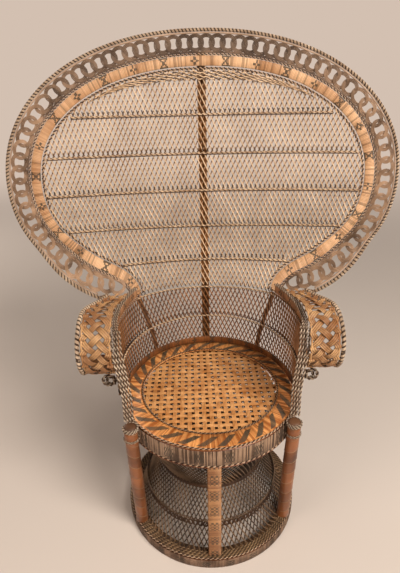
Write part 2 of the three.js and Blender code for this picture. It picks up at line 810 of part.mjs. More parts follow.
// Stations along the wall on the net's own columns, so that a bar lies flat on its facets.
function wallStations(count, height) {
  const path = [];
  for (let i = -count; i <= count; i++)
    path.push(new THREE.Vector2(i * wallStep, height(i * wallStep)));
  return stationsOf(path);
}
const frontOfNet = netThickness / 2 + netClearance;
add(
  "seat_frieze",
  sheetBar(
    wallStations(Math.floor(friezeReach / wallStep), () => friezeLow + friezeHeight / 2),
    0,
    boxSection(friezeHeight, friezeThickness),
    onWall,
    frontOfNet + friezeThickness / 2,
  ),
  honey,
);
add(
  "wall_row",
  sheetBar(
    wallStations(wallGapCount, (s) => mix(wallLow, wallHigh + wingLift(s), 1 / 2)),
    0,
    boxSection(rowHeight, rowThickness),
    onWall,
    frontOfNet - clearance + rowThickness / 2,
  ),
  pale,
);

// Top of the lattice: a rail right round, with the wound band and its edging above it on each wing.
add(
  "wing_rail",
  sheetBar(
    wallStations(wallGapCount, (s) => railHeight + wingLift(s)),
    0,
    roundSection(railTube, 4),
    onWall,
  ),
  pale,
);
const wingStart = neckHalfWidth + innerHoopTube + bandWidth;
function wingStations(side, above) {
  return stationsOf(
    Array.from({ length: wingSteps + 1 }, (_, i) => {
      const s = mix(wingStart, wallReach, i / wingSteps);
      return new THREE.Vector2(side * s, railHeight + wingLift(s) + above);
    }),
  );
}
const wingBandAbove = railTube + clearance * 2 + wingBandWidth / 2;
const wingTwistAbove = wingBandAbove + wingBandWidth / 2 + clearance * 2 + wingTwistTube;
addPair(
  "wing_band",
  (side) => sheetBar(wingStations(side, wingBandAbove), 0, boxSection(wingBandWidth, bandThickness), onWall),
  honey,
);
addPair(
  "wing_twist",
  (side) =>
    sheetBar(
      wingStations(side, wingTwistAbove),
      0,
      boxSection(2 * wingTwistTube, wingTopWidth),
      onWall,
      wingTopWidth / 2 - wingTwistTube,
    ),
  pale,
);

// Braided strip that caps the front edge of each wing, from its top down to the leg's collar.
function strip(side) {
  const rowHeights = Array.from({ length: wallRows }, (_, j) =>
    mix(wallLow, wallHigh + wingRise, (j + 1) / wallRows),
  );
  const low = collarTop + clearance;
  const high = railHeight + wingRise + wingTwistAbove + wingTwistTube;
  const heights = [low, ...rowHeights, high];
  const near = wallReach + netClearance;
  const far = near + stripThickness;
  const half = stripWidth / 2;
  return loft(
    heights.map((z) => [
      onWall(side * near, z, -half),
      onWall(side * far, z, -half),
      onWall(side * far, z, half),
      onWall(side * near, z, half),
    ]),
  );
}
addPair("wing_strip", strip, pale);

// Fan: lattice in a hoop, a wound band, a middle hoop, a looped border, a pale hoop and the wound rim.
const fanEdgeOffset = -(innerHoopTube + bentClearance + fanEdgeWidth / 2);
const fanRowZ = (k) => rowFirst + k * rowSpacing;

// Middle line of the band that ends the lattice, right round and along its foot.
function fanEdgePath() {
  const foot = railHeight + railTube + clearance + fanEdgeWidth / 2;
  const round = wholeStations.map((station) => shifted(station, fanEdgeOffset));
  const kept = round.filter((p) => p.y > foot + fanEdgeWidth);
  const reach = round[0].x;
  const bottom = Array.from(
    { length: fanFootSteps + 1 },
    (_, i) => new THREE.Vector2(mix(-reach, reach, i / fanFootSteps), foot),
  );
  return [...kept, ...bottom];
}

function fanNet() {
  const halfWidth = latticePitch / 2;
  const halfHeight = latticeHeight / 2;
  const top = fanCentreHeight + fanHalfHeight;
  const columns = 4 * Math.ceil(fanHalfWidth / latticePitch);
  const rowsBelow = 2 * Math.ceil((rowFirst - railHeight) / latticeHeight);
  const rows = rowsBelow + 2 * Math.ceil((top - rowFirst) / latticeHeight);
  const corner = (i, j, n) =>
    onFan((i - columns / 2) * halfWidth, rowFirst + (j - rowsBelow) * halfHeight, n);
  const barShare = barShareOf(fanBar, halfWidth, halfHeight);
  const field = lattice(columns, rows, corner, netThickness, barShare);
  const path = fanEdgePath();
  const section = boxSection(fanEdgeWidth, fanEdgeThickness);
  const edge = sheetBar(stationsOf(path, true), 0, section, onFan, 0, true);
  const outline = path.map((p) => {
    const q = onFan(p.x, p.y, 0);
    return new THREE.Vector2(q.x, q.z);
  });
  const depth = backY(top) + cutOverrun;
  const prism = new THREE.ExtrudeGeometry(new THREE.Shape(outline), { depth, bevelEnabled: false });
  prism.rotateX(Math.PI / 2).translate(0, depth, 0);
  return geometryOf(solidOf(field).intersect(solidOf(prism)).add(solidOf(edge)));
}

add("fan_net", fanNet(), tan);
add("fan_inner_hoop", sheetBar(wholeStations, 0, roundSection(innerHoopTube, 4), onFan), pale);
add("fan_band", sheetBar(wholeStations, bandOffset, boxSection(bandWidth, bandThickness), onFan), honey);
add("fan_middle_hoop", sheetBar(wholeStations, middleOffset, roundSection(middleHoopTube, 4), onFan), brown);
add("fan_pale_hoop", sheetBar(fanStations, paleOffset, roundSection(paleHoopTube, 4), onFan), pale);
add("fan_rim", sheetBar(fanStations, rimOffset, roundSection(rimTube, hoopSides), onFan), tan);

// Looped border: a window for each step of the path.
function loopBorder() {
  const windows = fanStations.length - 1;
  const corner = (i, j, n) => {
    const k = Math.min(Math.floor(i), windows - 1);
    const offset = loopInner + j * loopWidth;
    const q = shifted(fanStations[k], offset).lerp(shifted(fanStations[k + 1], offset), i - k);
    return onFan(q.x, q.y, n);
  };
  return cellNet(windows, 1, corner, loopThickness, (2 * loopBar) / loopWidth, false);
}
add("fan_loop_border", loopBorder(), tan);

// Twined rows across the fan, in front of the lattice and up to the hoop.
const fanFront = fanEdgeThickness / 2 + clearance;
function hoopReachAt(z) {
  const k = wholePath.findIndex((p, i) => i > pathSteps / 2 && p.y < z);
  const [a, b] = [wholePath[k - 1], wholePath[k]];
  return mix(a.x, b.x, (z - a.y) / (b.y - a.y));
}
for (let k = 0; k < rowCount; k++) {
  const z = fanRowZ(k);
  const ends = [z - rowHeight / 2, z + rowHeight / 2].map(hoopReachAt);
  const reach = Math.min(...ends) - 2 * innerHoopTube;
  const path = Array.from(
    { length: rowSteps + 1 },
    (_, i) => new THREE.Vector2(mix(-reach, reach, i / rowSteps), z),
  );
  const section = boxSection(rowHeight, rowThickness);
  const row = sheetBar(stationsOf(path), 0, section, onFan, fanFront + rowThickness / 2);
  add("fan_row_" + (k + 1), row, pale);
}

// Braided crown: a crescent on the lattice, right under the hoop's top.
function crown() {
  const inner = -(innerHoopTube + 2 * clearance);
  return loft(
    wholeStations
      .filter(({ p }) => p.y > fanCentreHeight && Math.abs(p.x) < crownReach)
      .map((station) => {
        const taper = Math.cos(((Math.PI / 2) * station.p.x) / crownReach);
        const top = shifted(station, inner);
        const low = shifted(station, inner - crownThickness - crownDrop * taper);
        const front = fanFront + crownThickness;
        return [
          onFan(top.x, top.y, fanFront),
          onFan(top.x, top.y, front),
          onFan(low.x, low.y, front),
          onFan(low.x, low.y, fanFront),
        ];
      }),
  );
}
add("fan_crown_braid", crown(), pale);

// Arms: a plaited sheet that starts at the neck, widens forwards and rolls down at the front.
const armSteps = armBackRows + armRollRows;
function armEdges(i) {
  const rollStart = armBackRows;
  const share = Math.min(i / rollStart, 1);
  const y = mix(armBackY, armRollY, share);
  const z = mix(armBackHeight, armTopHeight, smooth(share));
  const rollShare = Math.max(i - rollStart, 0) / armRollRows;
  const turned = THREE.MathUtils.degToRad(rollShare * armRollDegrees);
  const rolled = (r) => ({
    y: y - r * Math.sin(turned),
    z: z - armRollRadius + r * Math.cos(turned),
  });
  const middle = rolled(armRollRadius);
  const wingTop = railHeight + wingRise;
  const surface = Math.max(
    wingSurfaceX(y, wingTop),
    wingSurfaceX(middle.y, Math.min(middle.z, wingTop)),
  );
  const inner = surface + wingTwistTube + armToWing + armRollEase * rollShare;
  const outer = inner + mix(armBackWidth, armFrontWidth, smooth(share));
  return { inner, outer, rolled };
}

// How far out the wing's surface lies at a distance back from the seat's axis and a height.
function wingSurfaceX(y, z) {
  let best = 0;
  let nearest = Infinity;
  for (let i = 0; i <= surfaceSamples; i++) {
    const p = onWall(mix(cornerStart, wallReach, i / surfaceSamples), z, 0);
    if (Math.abs(p.y - y) < nearest) {
      nearest = Math.abs(p.y - y);
      best = p.x;
    }
  }
  return best;
}

function armPoint(side, i, across, n) {
  const { inner, outer, rolled } = armEdges(i);
  const { y, z } = rolled(armRollRadius + n);
  return new THREE.Vector3(side * mix(inner, outer, across), y, z);
}
const armBarShare = (2 * armBar) / armFrontWidth;
addPair(
  "arm_plait",
  (side) =>
    cellNet(
      armSteps,
      2,
      (i, j, n) => armPoint(side, i, j / 2, n),
      armThickness,
      armBarShare,
      true,
    ),
  honey,
);

// Rope-wound edge on the outside of each arm, and the bar that the plait is rolled round.
function armRim(side) {
  const points = [];
  for (let i = 0; i <= armSteps; i++) {
    const { outer, rolled } = armEdges(i);
    const { y, z } = rolled(armRollRadius);
    points.push({ x: outer + clearance + armRimTube, y, z });
  }
  return loft(
    points.map((p, i) => {
      const before = points[Math.max(i - 1, 0)];
      const after = points[Math.min(i + 1, points.length - 1)];
      const along = new THREE.Vector2(after.y - before.y, after.z - before.z).normalize();
      return roundSection(armRimTube, hoopSides).map(
        ([a, b]) => new THREE.Vector3(side * (p.x + a), p.y - b * along.y, p.z + b * along.x),
      );
    }),
  );
}
addPair("arm_rim", armRim, pale);

function rollBar(side) {
  const { inner, outer, rolled } = armEdges(armSteps);
  const end = rolled(armRollRadius);
  const turned = THREE.MathUtils.degToRad(armRollDegrees);
  const beyond = clearance + rollBarRadius;
  const y = end.y - beyond * Math.cos(turned);
  const z = end.z - beyond * Math.sin(turned);
  return pole(
    new THREE.Vector3(side * inner, y, z),
    new THREE.Vector3(side * outer, y, z),
    rollBarRadius,
    postSides,
  );
}
addPair("arm_roll_bar", rollBar, brown);

// Scrolls under the arm, and the brace that they sit on.
const rollLowZ = armTopHeight - 2 * armRollRadius - armThickness / 2;
const scrollZ = rollLowZ - clearance - scrollRadius - scrollTube;
function scroll(x, y) {
  const torus = new THREE.TorusGeometry(scrollRadius, scrollTube, hoopSides, poleSides);
  torus.rotateX(Math.PI / 2);
  return torus.translate(x, y, scrollZ);
}
const braceS = Math.round(braceReachShare * wallColumns / 2) * wallStep;
const braceMiddle = (side, z) =>
  onWall(side * braceS, z, -(netThickness / 2 + 2 * clearance + braceTube));
const braceFootHeight = seatHeight + braceFootAboveSeat;
const braceRowHeights = Array.from({ length: braceRows }, (_, j) =>
  mix(wallLow, wallHigh, (j + 1) / wallRows),
);
addPair(
  "arm_brace",
  (side) =>
    loft(
      [braceFootHeight, ...braceRowHeights, rollLowZ - clearance].map((z) =>
        levelRing(braceMiddle(side, z), braceTube, postSides),
      ),
    ),
  brown,
);
addPair(
  "arm_scroll",
  (side) => {
    const at = braceMiddle(side, scrollZ);
    return scroll(at.x + side * (braceTube + clearance + scrollRadius + scrollTube), at.y);
  },
  tan,
);

// The origin is on the floor, in the middle of the chair's depth.
const bounds = new THREE.Box3().setFromObject(chair, true);
chair.position.y = -(bounds.min.y + bounds.max.y) / 2;

export default chair;
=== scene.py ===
# %% [markdown]
# # A peacock chair in cane
# The real chair is a frame of bent rattan poles that nobody sees: split cane is wound, twisted and laced
# all over it. So this lesson makes four kinds of cane work, each by one rule, and then uses them again and
# again: single canes, twisted edgings, wound bands and looped rings. The woven seat, the lattices and the
# plaited arms are laid out from single canes.

# %% Load the fixed frame
import math

import bpy
import numpy as np
from mathutils import Matrix, Vector


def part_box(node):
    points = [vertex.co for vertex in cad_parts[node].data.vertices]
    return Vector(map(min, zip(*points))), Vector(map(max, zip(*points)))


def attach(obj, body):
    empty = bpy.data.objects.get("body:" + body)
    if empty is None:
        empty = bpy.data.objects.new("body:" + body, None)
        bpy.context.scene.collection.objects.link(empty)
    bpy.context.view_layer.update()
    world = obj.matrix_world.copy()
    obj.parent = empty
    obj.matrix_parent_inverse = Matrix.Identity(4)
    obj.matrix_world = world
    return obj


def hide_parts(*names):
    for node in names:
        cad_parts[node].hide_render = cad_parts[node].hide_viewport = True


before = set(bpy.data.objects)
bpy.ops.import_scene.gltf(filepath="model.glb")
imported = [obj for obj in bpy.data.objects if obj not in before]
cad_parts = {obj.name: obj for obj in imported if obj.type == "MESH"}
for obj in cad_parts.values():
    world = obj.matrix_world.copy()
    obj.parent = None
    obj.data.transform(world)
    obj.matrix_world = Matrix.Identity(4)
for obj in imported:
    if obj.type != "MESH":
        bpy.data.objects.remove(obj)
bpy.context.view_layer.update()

# %% [markdown]
# ## Sizes
# All lengths are metres. The seat's axis, its height and its radius are measured on the fixed frame. The
# curve of the back is repeated from the construction, because a frame of meshes doesn't say how it was
# bent.

# %% Measure the seat and the floor ring
seat_low, seat_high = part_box("seat_border")
seat_y = (seat_low.y + seat_high.y) / 2
seat_radius = (seat_high.x - seat_low.x) / 2
seat_height = seat_high.z
ring_low, ring_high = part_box("base_wrap")
ring_radius = (ring_high.x - ring_low.x) / 2
print("seat axis y", seat_y, "radius", seat_radius, "height", seat_height, "floor ring", ring_radius)

# %% Name the sizes of the back
wall_radius = seat_radius - 0.010
wall_reach = wall_radius * math.radians(127)
fan_radius = 2.220
corner_start = 0.190
corner_length = 0.060
corner_turn = math.radians(68.3)
wing_low_radius = wall_radius + 0.054
wing_high_radius = 0.455
open_low = 0.500
open_high = 0.800
corner_full = 0.630
lean = 0.105 / 0.950

fan_centre = 0.980
fan_half_width = 0.472
fan_half_height = 0.298
neck_start = 0.300
neck_half_width = 0.209
neck_height = 0.640
oval_power = 0.93
# How much of the fan's hoop, at each of its ends, lies in the neck.
neck_share = 4 / 54
print("the wall reaches", round(wall_reach, 3), "m to each side of the middle")

# %% [markdown]
# ## Bending the back
# A weaver makes the back flat and the frame bends it. The scene does the same: a piece of the back is made
# on a flat sheet, where s runs along the sheet, z is up and n stands off it towards the sitter, and one
# function then bends every point to the plan curve. So a straight cane stays one smooth cane right round
# the wing's corner.

# %% Bend flat points to the plan curve of the back


def ease(t):
    t = np.clip(t, 0, 1)
    return t * t * (3 - 2 * t)


def bend(points, is_wing):
    s, z, n = points.T
    height = np.minimum(z, corner_full) if is_wing else z
    opened = ease((height - open_low) / (open_high - open_low))
    back = (1 - opened) / wall_radius + opened / fan_radius
    arcs = [back, back, back]
    if is_wing:
        share = ease((height - open_low) / (corner_full - open_low))
        round_turn = (corner_start + corner_length) / wall_radius
        turn = (1 - share) * round_turn + share * corner_turn
        arcs[1] = (turn - back * corner_start) / corner_length
        arcs[2] = (1 - share) / wing_low_radius + share / wing_high_radius
    left = np.abs(s)
    turned = np.zeros_like(s)
    x = np.zeros_like(s)
    y = wall_radius + (z - seat_height) * lean
    for curvature, length in zip(arcs, (corner_start, corner_length, math.inf)):
        run = np.minimum(left, length)
        after = turned + curvature * run
        x += (np.sin(after) - np.sin(turned)) / curvature
        y -= (np.cos(turned) - np.cos(after)) / curvature
        turned = after
        left = left - run
    x -= n * np.sin(turned)
    y -= n * np.cos(turned)
    return np.column_stack([np.where(s < 0, -x, x), y + seat_y, z])


def onto_fan(points):
    return bend(points, False)


def onto_wall(points):
    return bend(points, True)


# %% [markdown]
# ## Rolling a strip round the seat's axis
# The seat's rim, its apron and the floor ring are strips as well. They are made straight, from minus to
# plus half their length, and rolled up: the middle of the strip comes to the front of the chair and its
# ends meet at the back. An upright strip keeps its width along z, and a lying one turns its width into
# radius.

# %% Roll flat points round the seat's axis


def roll_upright(radius):
    def place(points):
        s, z, n = points.T
        angle = s / radius
        away = radius + n
        return np.column_stack([away * np.sin(angle), seat_y - away * np.cos(angle), z])

    return place


def roll_lying(radius, height):
    def place(points):
        s, across, n = points.T
        angle = s / radius
        away = radius + across
        return np.column_stack(
            [away * np.sin(angle), seat_y - away * np.cos(angle), height + n]
        )

    return place


def full_turn(radius, height=0.0, short=0.0, rows=96):
    """A straight flat path as long as the circle of that radius. It may end short of the whole turn."""
    s = np.linspace(-math.pi * radius, math.pi * radius - short, rows + 1)
    return np.column_stack([s, np.full_like(s, height), np.zeros_like(s)])


# %% [markdown]
# ## Building node trees
# Both the shapes and the finishes are node trees. This small helper adds a node, links every input that is
# given as a socket and sets every input that is given as a value, so that a tree reads from top to bottom.

# %% A helper that writes node trees


class Trees:
    def __init__(self, tree):
        self.tree = tree

    def add(self, kind, values=None, **settings):
        node = self.tree.nodes.new(kind)
        for key, value in settings.items():
            setattr(node, key, value)
        for key, value in (values or {}).items():
            socket = node.inputs[key]
            if isinstance(value, bpy.types.NodeSocket):
                self.tree.links.new(value, socket)
            else:
                socket.default_value = value
        return node

    def math(self, operation, *values):
        node = self.add("ShaderNodeMath", dict(enumerate(values)), operation=operation)
        return node.outputs[0]

    def vector(self, x, y, z):
        return self.add("ShaderNodeCombineXYZ", {0: x, 1: y, 2: z}).outputs[0]

    def swing(self, value, amount):
        """How far a value lies from a half, times an amount."""
        return self.math("MULTIPLY", self.math("SUBTRACT", value, 0.5), amount)

    def keep(self, geometry, name, value):
        """Stores a number for each point. The finishes read it later."""
        stored = self.add(
            "GeometryNodeStoreNamedAttribute",
            {"Geometry": geometry, "Name": name, "Value": value},
            data_type="FLOAT",
            domain="POINT",
        )
        return stored.outputs[0]

    def even_line(self, lines, mode, key, value):
        """Edges made into curves whose points lie evenly, by their count or their spacing."""
        line = self.add("GeometryNodeMeshToCurve", {"Mesh": lines})
        even = self.add(
            "GeometryNodeResampleCurve", {"Curve": line.outputs[0], key: value}, mode=mode
        )
        return even.outputs[0]

    def along_line(self, points, instance):
        """An instance on each point of a line, turned to the line's direction."""
        tangent = self.add("GeometryNodeInputTangent").outputs[0]
        facing = self.add(
            "FunctionNodeAlignRotationToVector", {"Vector": tangent}, axis="X", pivot_axis="Z"
        )
        set_out = self.add(
            "GeometryNodeInstanceOnPoints",
            {"Points": points, "Instance": instance, "Rotation": facing.outputs[0]},
        )
        return set_out.outputs[0]


def shape_tree(name, sizes):
    """A Geometry Nodes group with named inputs. Returns its helper and its sockets by name."""
    group = bpy.data.node_groups.new(name, "GeometryNodeTree")
    face = group.interface
    face.new_socket("Geometry", in_out="INPUT", socket_type="NodeSocketGeometry")
    for key, value in sizes.items():
        kind = "NodeSocketInt" if isinstance(value, int) else "NodeSocketFloat"
        face.new_socket(key, in_out="INPUT", socket_type=kind).default_value = value
    face.new_socket("Material", in_out="INPUT", socket_type="NodeSocketMaterial")
    face.new_socket("Geometry", in_out="OUTPUT", socket_type="NodeSocketGeometry")
    trees = Trees(group)
    source = trees.add("NodeGroupInput")
    return trees, {socket.name: socket for socket in source.outputs}


def close_tree(trees, geometry, given):
    """Ends a tree the way the export needs it: real geometry, smooth, with its material."""
    solid = trees.add("GeometryNodeRealizeInstances", {"Geometry": geometry})
    shaded = trees.add("GeometryNodeSetShadeSmooth", {"Geometry": solid.outputs[0]})
    final = trees.add(
        "GeometryNodeSetMaterial",
        {"Geometry": shaded.outputs[0], "Material": given["Material"]},
    )
    trees.add("NodeGroupOutput", {"Geometry": final.outputs[0]})
    return trees.tree


# %% [markdown]
# ## Cane along a line
# A cane is a thin flat-round section swept along a line. One tree serves a single cane, a flat strip and
# every twisted edging: it lays several sections round the line and turns them steadily as the line goes on.
# Each strand keeps its number in an attribute, so that a finish can stain every second strand dark.

# %% The tree that sweeps and twists strands


def strand_tree():
    trees, given = shape_tree(
        "strands along lines",
        {
            "Step": 0.004,
            "Width": 0.003,
            "Thickness": 0.003,
            "Strands": 1,
            "Lay Radius": 0.0,
            "Turn Length": 1.0,
            "Sides": 6,
        },
    )
    even = trees.even_line(given["Geometry"], "LENGTH", "Length", given["Step"])
    level = trees.add("GeometryNodeSetCurveNormal", {"Curve": even}, mode="Z_UP")
    length = trees.add("GeometryNodeSplineParameter").outputs["Length"]
    turns = trees.math("DIVIDE", length, given["Turn Length"])
    tilt = trees.math("MULTIPLY", turns, math.tau)
    twisted = trees.add("GeometryNodeSetCurveTilt", {"Curve": level.outputs[0], "Tilt": tilt})
    number = trees.add("GeometryNodeInputIndex").outputs[0]
    share = trees.math("DIVIDE", number, given["Strands"])
    angle = trees.math("MULTIPLY", share, math.tau)
    place = trees.vector(
        trees.math("MULTIPLY", trees.math("COSINE", angle), given["Lay Radius"]),
        trees.math("MULTIPLY", trees.math("SINE", angle), given["Lay Radius"]),
        0.0,
    )
    spots = trees.add("GeometryNodePoints", {"Count": given["Strands"], "Position": place})
    numbered = trees.keep(spots.outputs[0], "strand", number)
    disc = trees.add(
        "GeometryNodeCurvePrimitiveCircle", {"Resolution": given["Sides"], "Radius": 0.5}
    )
    size = trees.vector(given["Width"], given["Thickness"], 1.0)
    section = trees.add(
        "GeometryNodeInstanceOnPoints",
        {"Points": numbered, "Instance": disc.outputs["Curve"], "Scale": size},
    )
    profile = trees.add("GeometryNodeRealizeInstances", {"Geometry": section.outputs[0]})
    swept = trees.add(
        "GeometryNodeCurveToMesh",
        {"Curve": twisted.outputs[0], "Profile Curve": profile.outputs[0], "Fill Caps": True},
    )
    return close_tree(trees, swept.outputs[0], given)


# %% [markdown]
# ## Cane wound round a band
# A wound band is one long strip of split cane that goes round and round a flat core. One wrap is a rounded
# ring with a thin flat section. The tree sets a wrap at every step of the band's path and turns it to the
# path, gives it a tone of its own, and stores how far along and across the band each point lies, for the
# woven motifs.

# %% The tree that winds a band


def winding_tree():
    trees, given = shape_tree(
        "wraps round a band",
        {
            "Wraps": 100,
            "Wrap Width": 0.004,
            "Cane Thickness": 0.001,
            "Across": 0.024,
            "Depth": 0.006,
            "Corner": 0.002,
            "Wander": 0.0002,
            "Seed": 1,
        },
    )
    even = trees.even_line(given["Geometry"], "COUNT", "Count", given["Wraps"])
    along = trees.add("GeometryNodeSplineParameter").outputs["Length"]
    marked = trees.keep(even, "along", along)
    tone = trees.add("FunctionNodeRandomValue", {"Seed": given["Seed"]}, data_type="FLOAT")
    toned = trees.keep(marked, "tone", tone.outputs[1])
    core = trees.add(
        "GeometryNodeCurvePrimitiveQuadrilateral",
        {
            "Width": trees.math("SUBTRACT", given["Across"], given["Cane Thickness"]),
            "Height": trees.math("SUBTRACT", given["Depth"], given["Cane Thickness"]),
        },
    )
    rounded = trees.add(
        "GeometryNodeFilletCurve",
        {"Curve": core.outputs[0], "Count": 1, "Radius": given["Corner"]},
        mode="POLY",
    )
    level = trees.add("GeometryNodeSetCurveNormal", {"Curve": rounded.outputs[0]}, mode="Z_UP")
    disc = trees.add("GeometryNodeCurvePrimitiveCircle", {"Resolution": 5, "Radius": 0.5})
    flat = trees.add(
        "GeometryNodeTransform",
        {
            "Geometry": disc.outputs["Curve"],
            "Scale": trees.vector(given["Cane Thickness"], given["Wrap Width"], 1.0),
        },
    )
    ring = trees.add(
        "GeometryNodeCurveToMesh",
        {"Curve": level.outputs[0], "Profile Curve": flat.outputs[0]},
    )
    position = trees.add("GeometryNodeInputPosition").outputs[0]
    spot = trees.add("ShaderNodeSeparateXYZ", {0: position})
    turned = trees.add(
        "GeometryNodeSetPosition",
        {
            "Geometry": ring.outputs[0],
            "Position": trees.vector(spot.outputs[2], spot.outputs[0], spot.outputs[1]),
        },
    )
    height = spot.outputs[1]
    across = trees.math("MULTIPLY", trees.math("DIVIDE", height, given["Across"]), 2.0)
    wrap = trees.keep(turned.outputs[0], "across", across)
    wraps = trees.along_line(toned, wrap)
    stray = trees.add(
        "FunctionNodeRandomValue",
        {0: (-1.0, -1.0, -1.0), 1: (1.0, 1.0, 1.0), "Seed": given["Seed"]},
        data_type="FLOAT_VECTOR",
    )
    shift = trees.add(
        "ShaderNodeVectorMath",
        {0: stray.outputs[0], "Scale": given["Wander"]},
        operation="SCALE",
    )
    laid = trees.add(
        "GeometryNodeTranslateInstances", {"Instances": wraps, "Translation": shift.outputs[0]}
    )
    return close_tree(trees, laid.outputs[0], given)


# %% [markdown]
# ## The looped border
# The open border between the band and the rim is a chain of flat rings, each bent from three thin canes. A
# ring overlaps the next one by half its own cane work, and weaves over it at the top and under it at the
# bottom. A ring that rises and falls twice on its way round, as the sine of double the angle, does that by
# itself.

# %% The tree that lays loops along a path

ring_canes = 3
ring_points = 18
cane_radius_share = 0.52


def ring_cane(trees, given, number):
    """One closed cane of a ring. Each cane lies inside the one before it."""
    circle = trees.add(
        "GeometryNodeCurvePrimitiveCircle", {"Resolution": ring_points, "Radius": 1.0}
    )
    point = trees.add("GeometryNodeInputIndex").outputs[0]
    angle = trees.math("MULTIPLY", point, math.tau / ring_points)
    inward = trees.math("MULTIPLY", given["Cane"], float(number))
    reach = trees.math("SUBTRACT", given["Half Length"], inward)
    height = trees.math("SUBTRACT", given["Half Width"], inward)
    double = trees.math("SINE", trees.math("MULTIPLY", angle, 2.0))
    place = trees.vector(
        trees.math("MULTIPLY", trees.math("COSINE", angle), reach),
        trees.math("MULTIPLY", trees.math("SINE", angle), height),
        trees.math("MULTIPLY", double, given["Rise"]),
    )
    bent = trees.add(
        "GeometryNodeSetPosition", {"Geometry": circle.outputs["Curve"], "Position": place}
    )
    return trees.keep(bent.outputs[0], "strand", float(number))


def loop_tree():
    trees, given = shape_tree(
        "interlaced loops",
        {
            "Loops": 71,
            "Half Length": 0.024,
            "Half Width": 0.021,
            "Rise": 0.0025,
            "Cane": 0.0033,
            "Seed": 3,
        },
    )
    even = trees.even_line(given["Geometry"], "COUNT", "Count", given["Loops"])
    tone = trees.add("FunctionNodeRandomValue", {"Seed": given["Seed"]}, data_type="FLOAT")
    toned = trees.keep(even, "tone", tone.outputs[1])
    join = trees.add("GeometryNodeJoinGeometry")
    for number in range(ring_canes):
        trees.tree.links.new(ring_cane(trees, given, number), join.inputs[0])
    section = trees.add(
        "GeometryNodeCurvePrimitiveCircle",
        {"Resolution": 5, "Radius": trees.math("MULTIPLY", given["Cane"], cane_radius_share)},
    )
    ring = trees.add(
        "GeometryNodeCurveToMesh",
        {"Curve": join.outputs[0], "Profile Curve": section.outputs["Curve"]},
    )
    return close_tree(trees, trees.along_line(toned, ring.outputs[0]), given)


strand_work = strand_tree()
winding_work = winding_tree()
loop_work = loop_tree()
print("shape trees:", [tree.name for tree in (strand_work, winding_work, loop_work)])

# %% [markdown]
# ## Running a tree
# A tree is run on lines: a mesh that holds only points and edges. The result is read back as a plain mesh,
# bent into place point by point, and only then becomes a piece of the chair that stands for its
# construction node.

# %% Lines in, plain mesh out


def lines_mesh(paths):
    points = []
    edges = []
    for path in paths:
        first = len(points)
        points.extend(map(tuple, path))
        edges.extend((first + i, first + i + 1) for i in range(len(path) - 1))
    mesh = bpy.data.meshes.new("lines")
    mesh.from_pydata(points, edges, [])
    return mesh


def grow(tree, paths, **sizes):
    start = lines_mesh(paths)
    maker = bpy.data.objects.new("maker", start)
    bpy.context.scene.collection.objects.link(maker)
    modifier = maker.modifiers.new("grow", "NODES")
    modifier.node_group = tree
    for item in tree.interface.items_tree:
        key = item.name.lower().replace(" ", "_")
        if item.in_out == "INPUT" and key in sizes:
            modifier[item.identifier] = sizes[key]
    depsgraph = bpy.context.evaluated_depsgraph_get()
    mesh = bpy.data.meshes.new_from_object(
        maker.evaluated_get(depsgraph), preserve_all_data_layers=True, depsgraph=depsgraph
    )
    bpy.data.objects.remove(maker)
    bpy.data.meshes.remove(start)
    return mesh


def points_of(mesh):
    flat = np.empty(len(mesh.vertices) * 3)
    mesh.vertices.foreach_get("co", flat)
    return flat.reshape(-1, 3)


def move_points(mesh, place):
    mesh.vertices.foreach_set("co", place(points_of(mesh)).ravel())
    mesh.update()
    return mesh


def mirrored(mesh):
    """The same piece on the chair's other side, with its faces still pointing out."""
    other = mesh.copy()
    move_points(other, lambda points: points * (-1, 1, 1))
    other.flip_normals()
    return other


face_count = 0


def piece(name, mesh, *nodes):
    global face_count
    made = bpy.data.objects.new(name, mesh)
    bpy.context.scene.collection.objects.link(made)
    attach(made, "root")
    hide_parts(*nodes)
    mesh.calc_loop_triangles()
    face_count += len(mesh.loop_triangles)
    print(name, len(mesh.loop_triangles), "triangles")
    return made


def pair(name, mesh, *nodes):
    """A right piece and its mirror image. The nodes are named without their side."""
    other = mirrored(mesh)
    piece(name + "_on_right", mesh, *[node + "_right" for node in nodes])
    piece(name + "_on_left", other, *[node + "_left" for node in nodes])


# %% [markdown]
# ## The finish of old cane
# Split cane is never one colour. It darkens in blotches with age, every strip has its own tone, and fine
# fibres run in it. One shader group makes the colour, the roughness and the fine height of cane from two
# ends of a colour range, and each finish places it with its own colours. Stained motifs are laid over that
# by a mask.

# %% A shader group for cane


def srgb(text):
    channels = [int(text[i : i + 2], 16) / 255 for i in (0, 2, 4)]
    return tuple(
        c / 12.92 if c <= 0.04045 else ((c + 0.055) / 1.055) ** 2.4 for c in channels
    ) + (1.0,)


def shader_group(name, inputs, outputs):
    group = bpy.data.node_groups.new(name, "ShaderNodeTree")
    for key, (kind, value) in inputs.items():
        socket = group.interface.new_socket(key, in_out="INPUT", socket_type="NodeSocket" + kind)
        socket.default_value = value
    for key, kind in outputs.items():
        group.interface.new_socket(key, in_out="OUTPUT", socket_type="NodeSocket" + kind)
    trees = Trees(group)
    source = trees.add("NodeGroupInput")
    return trees, {socket.name: socket for socket in source.outputs}


def blend_colours(trees, share, first, second):
    mixed = trees.add(
        "ShaderNodeMix", {0: share, 6: first, 7: second}, data_type="RGBA", clamp_factor=True
    )
    return mixed.outputs[2]


fibre_scale = 900.0
blotch_contrast = 2.2
fibre_contrast = 0.7
polish = 0.35


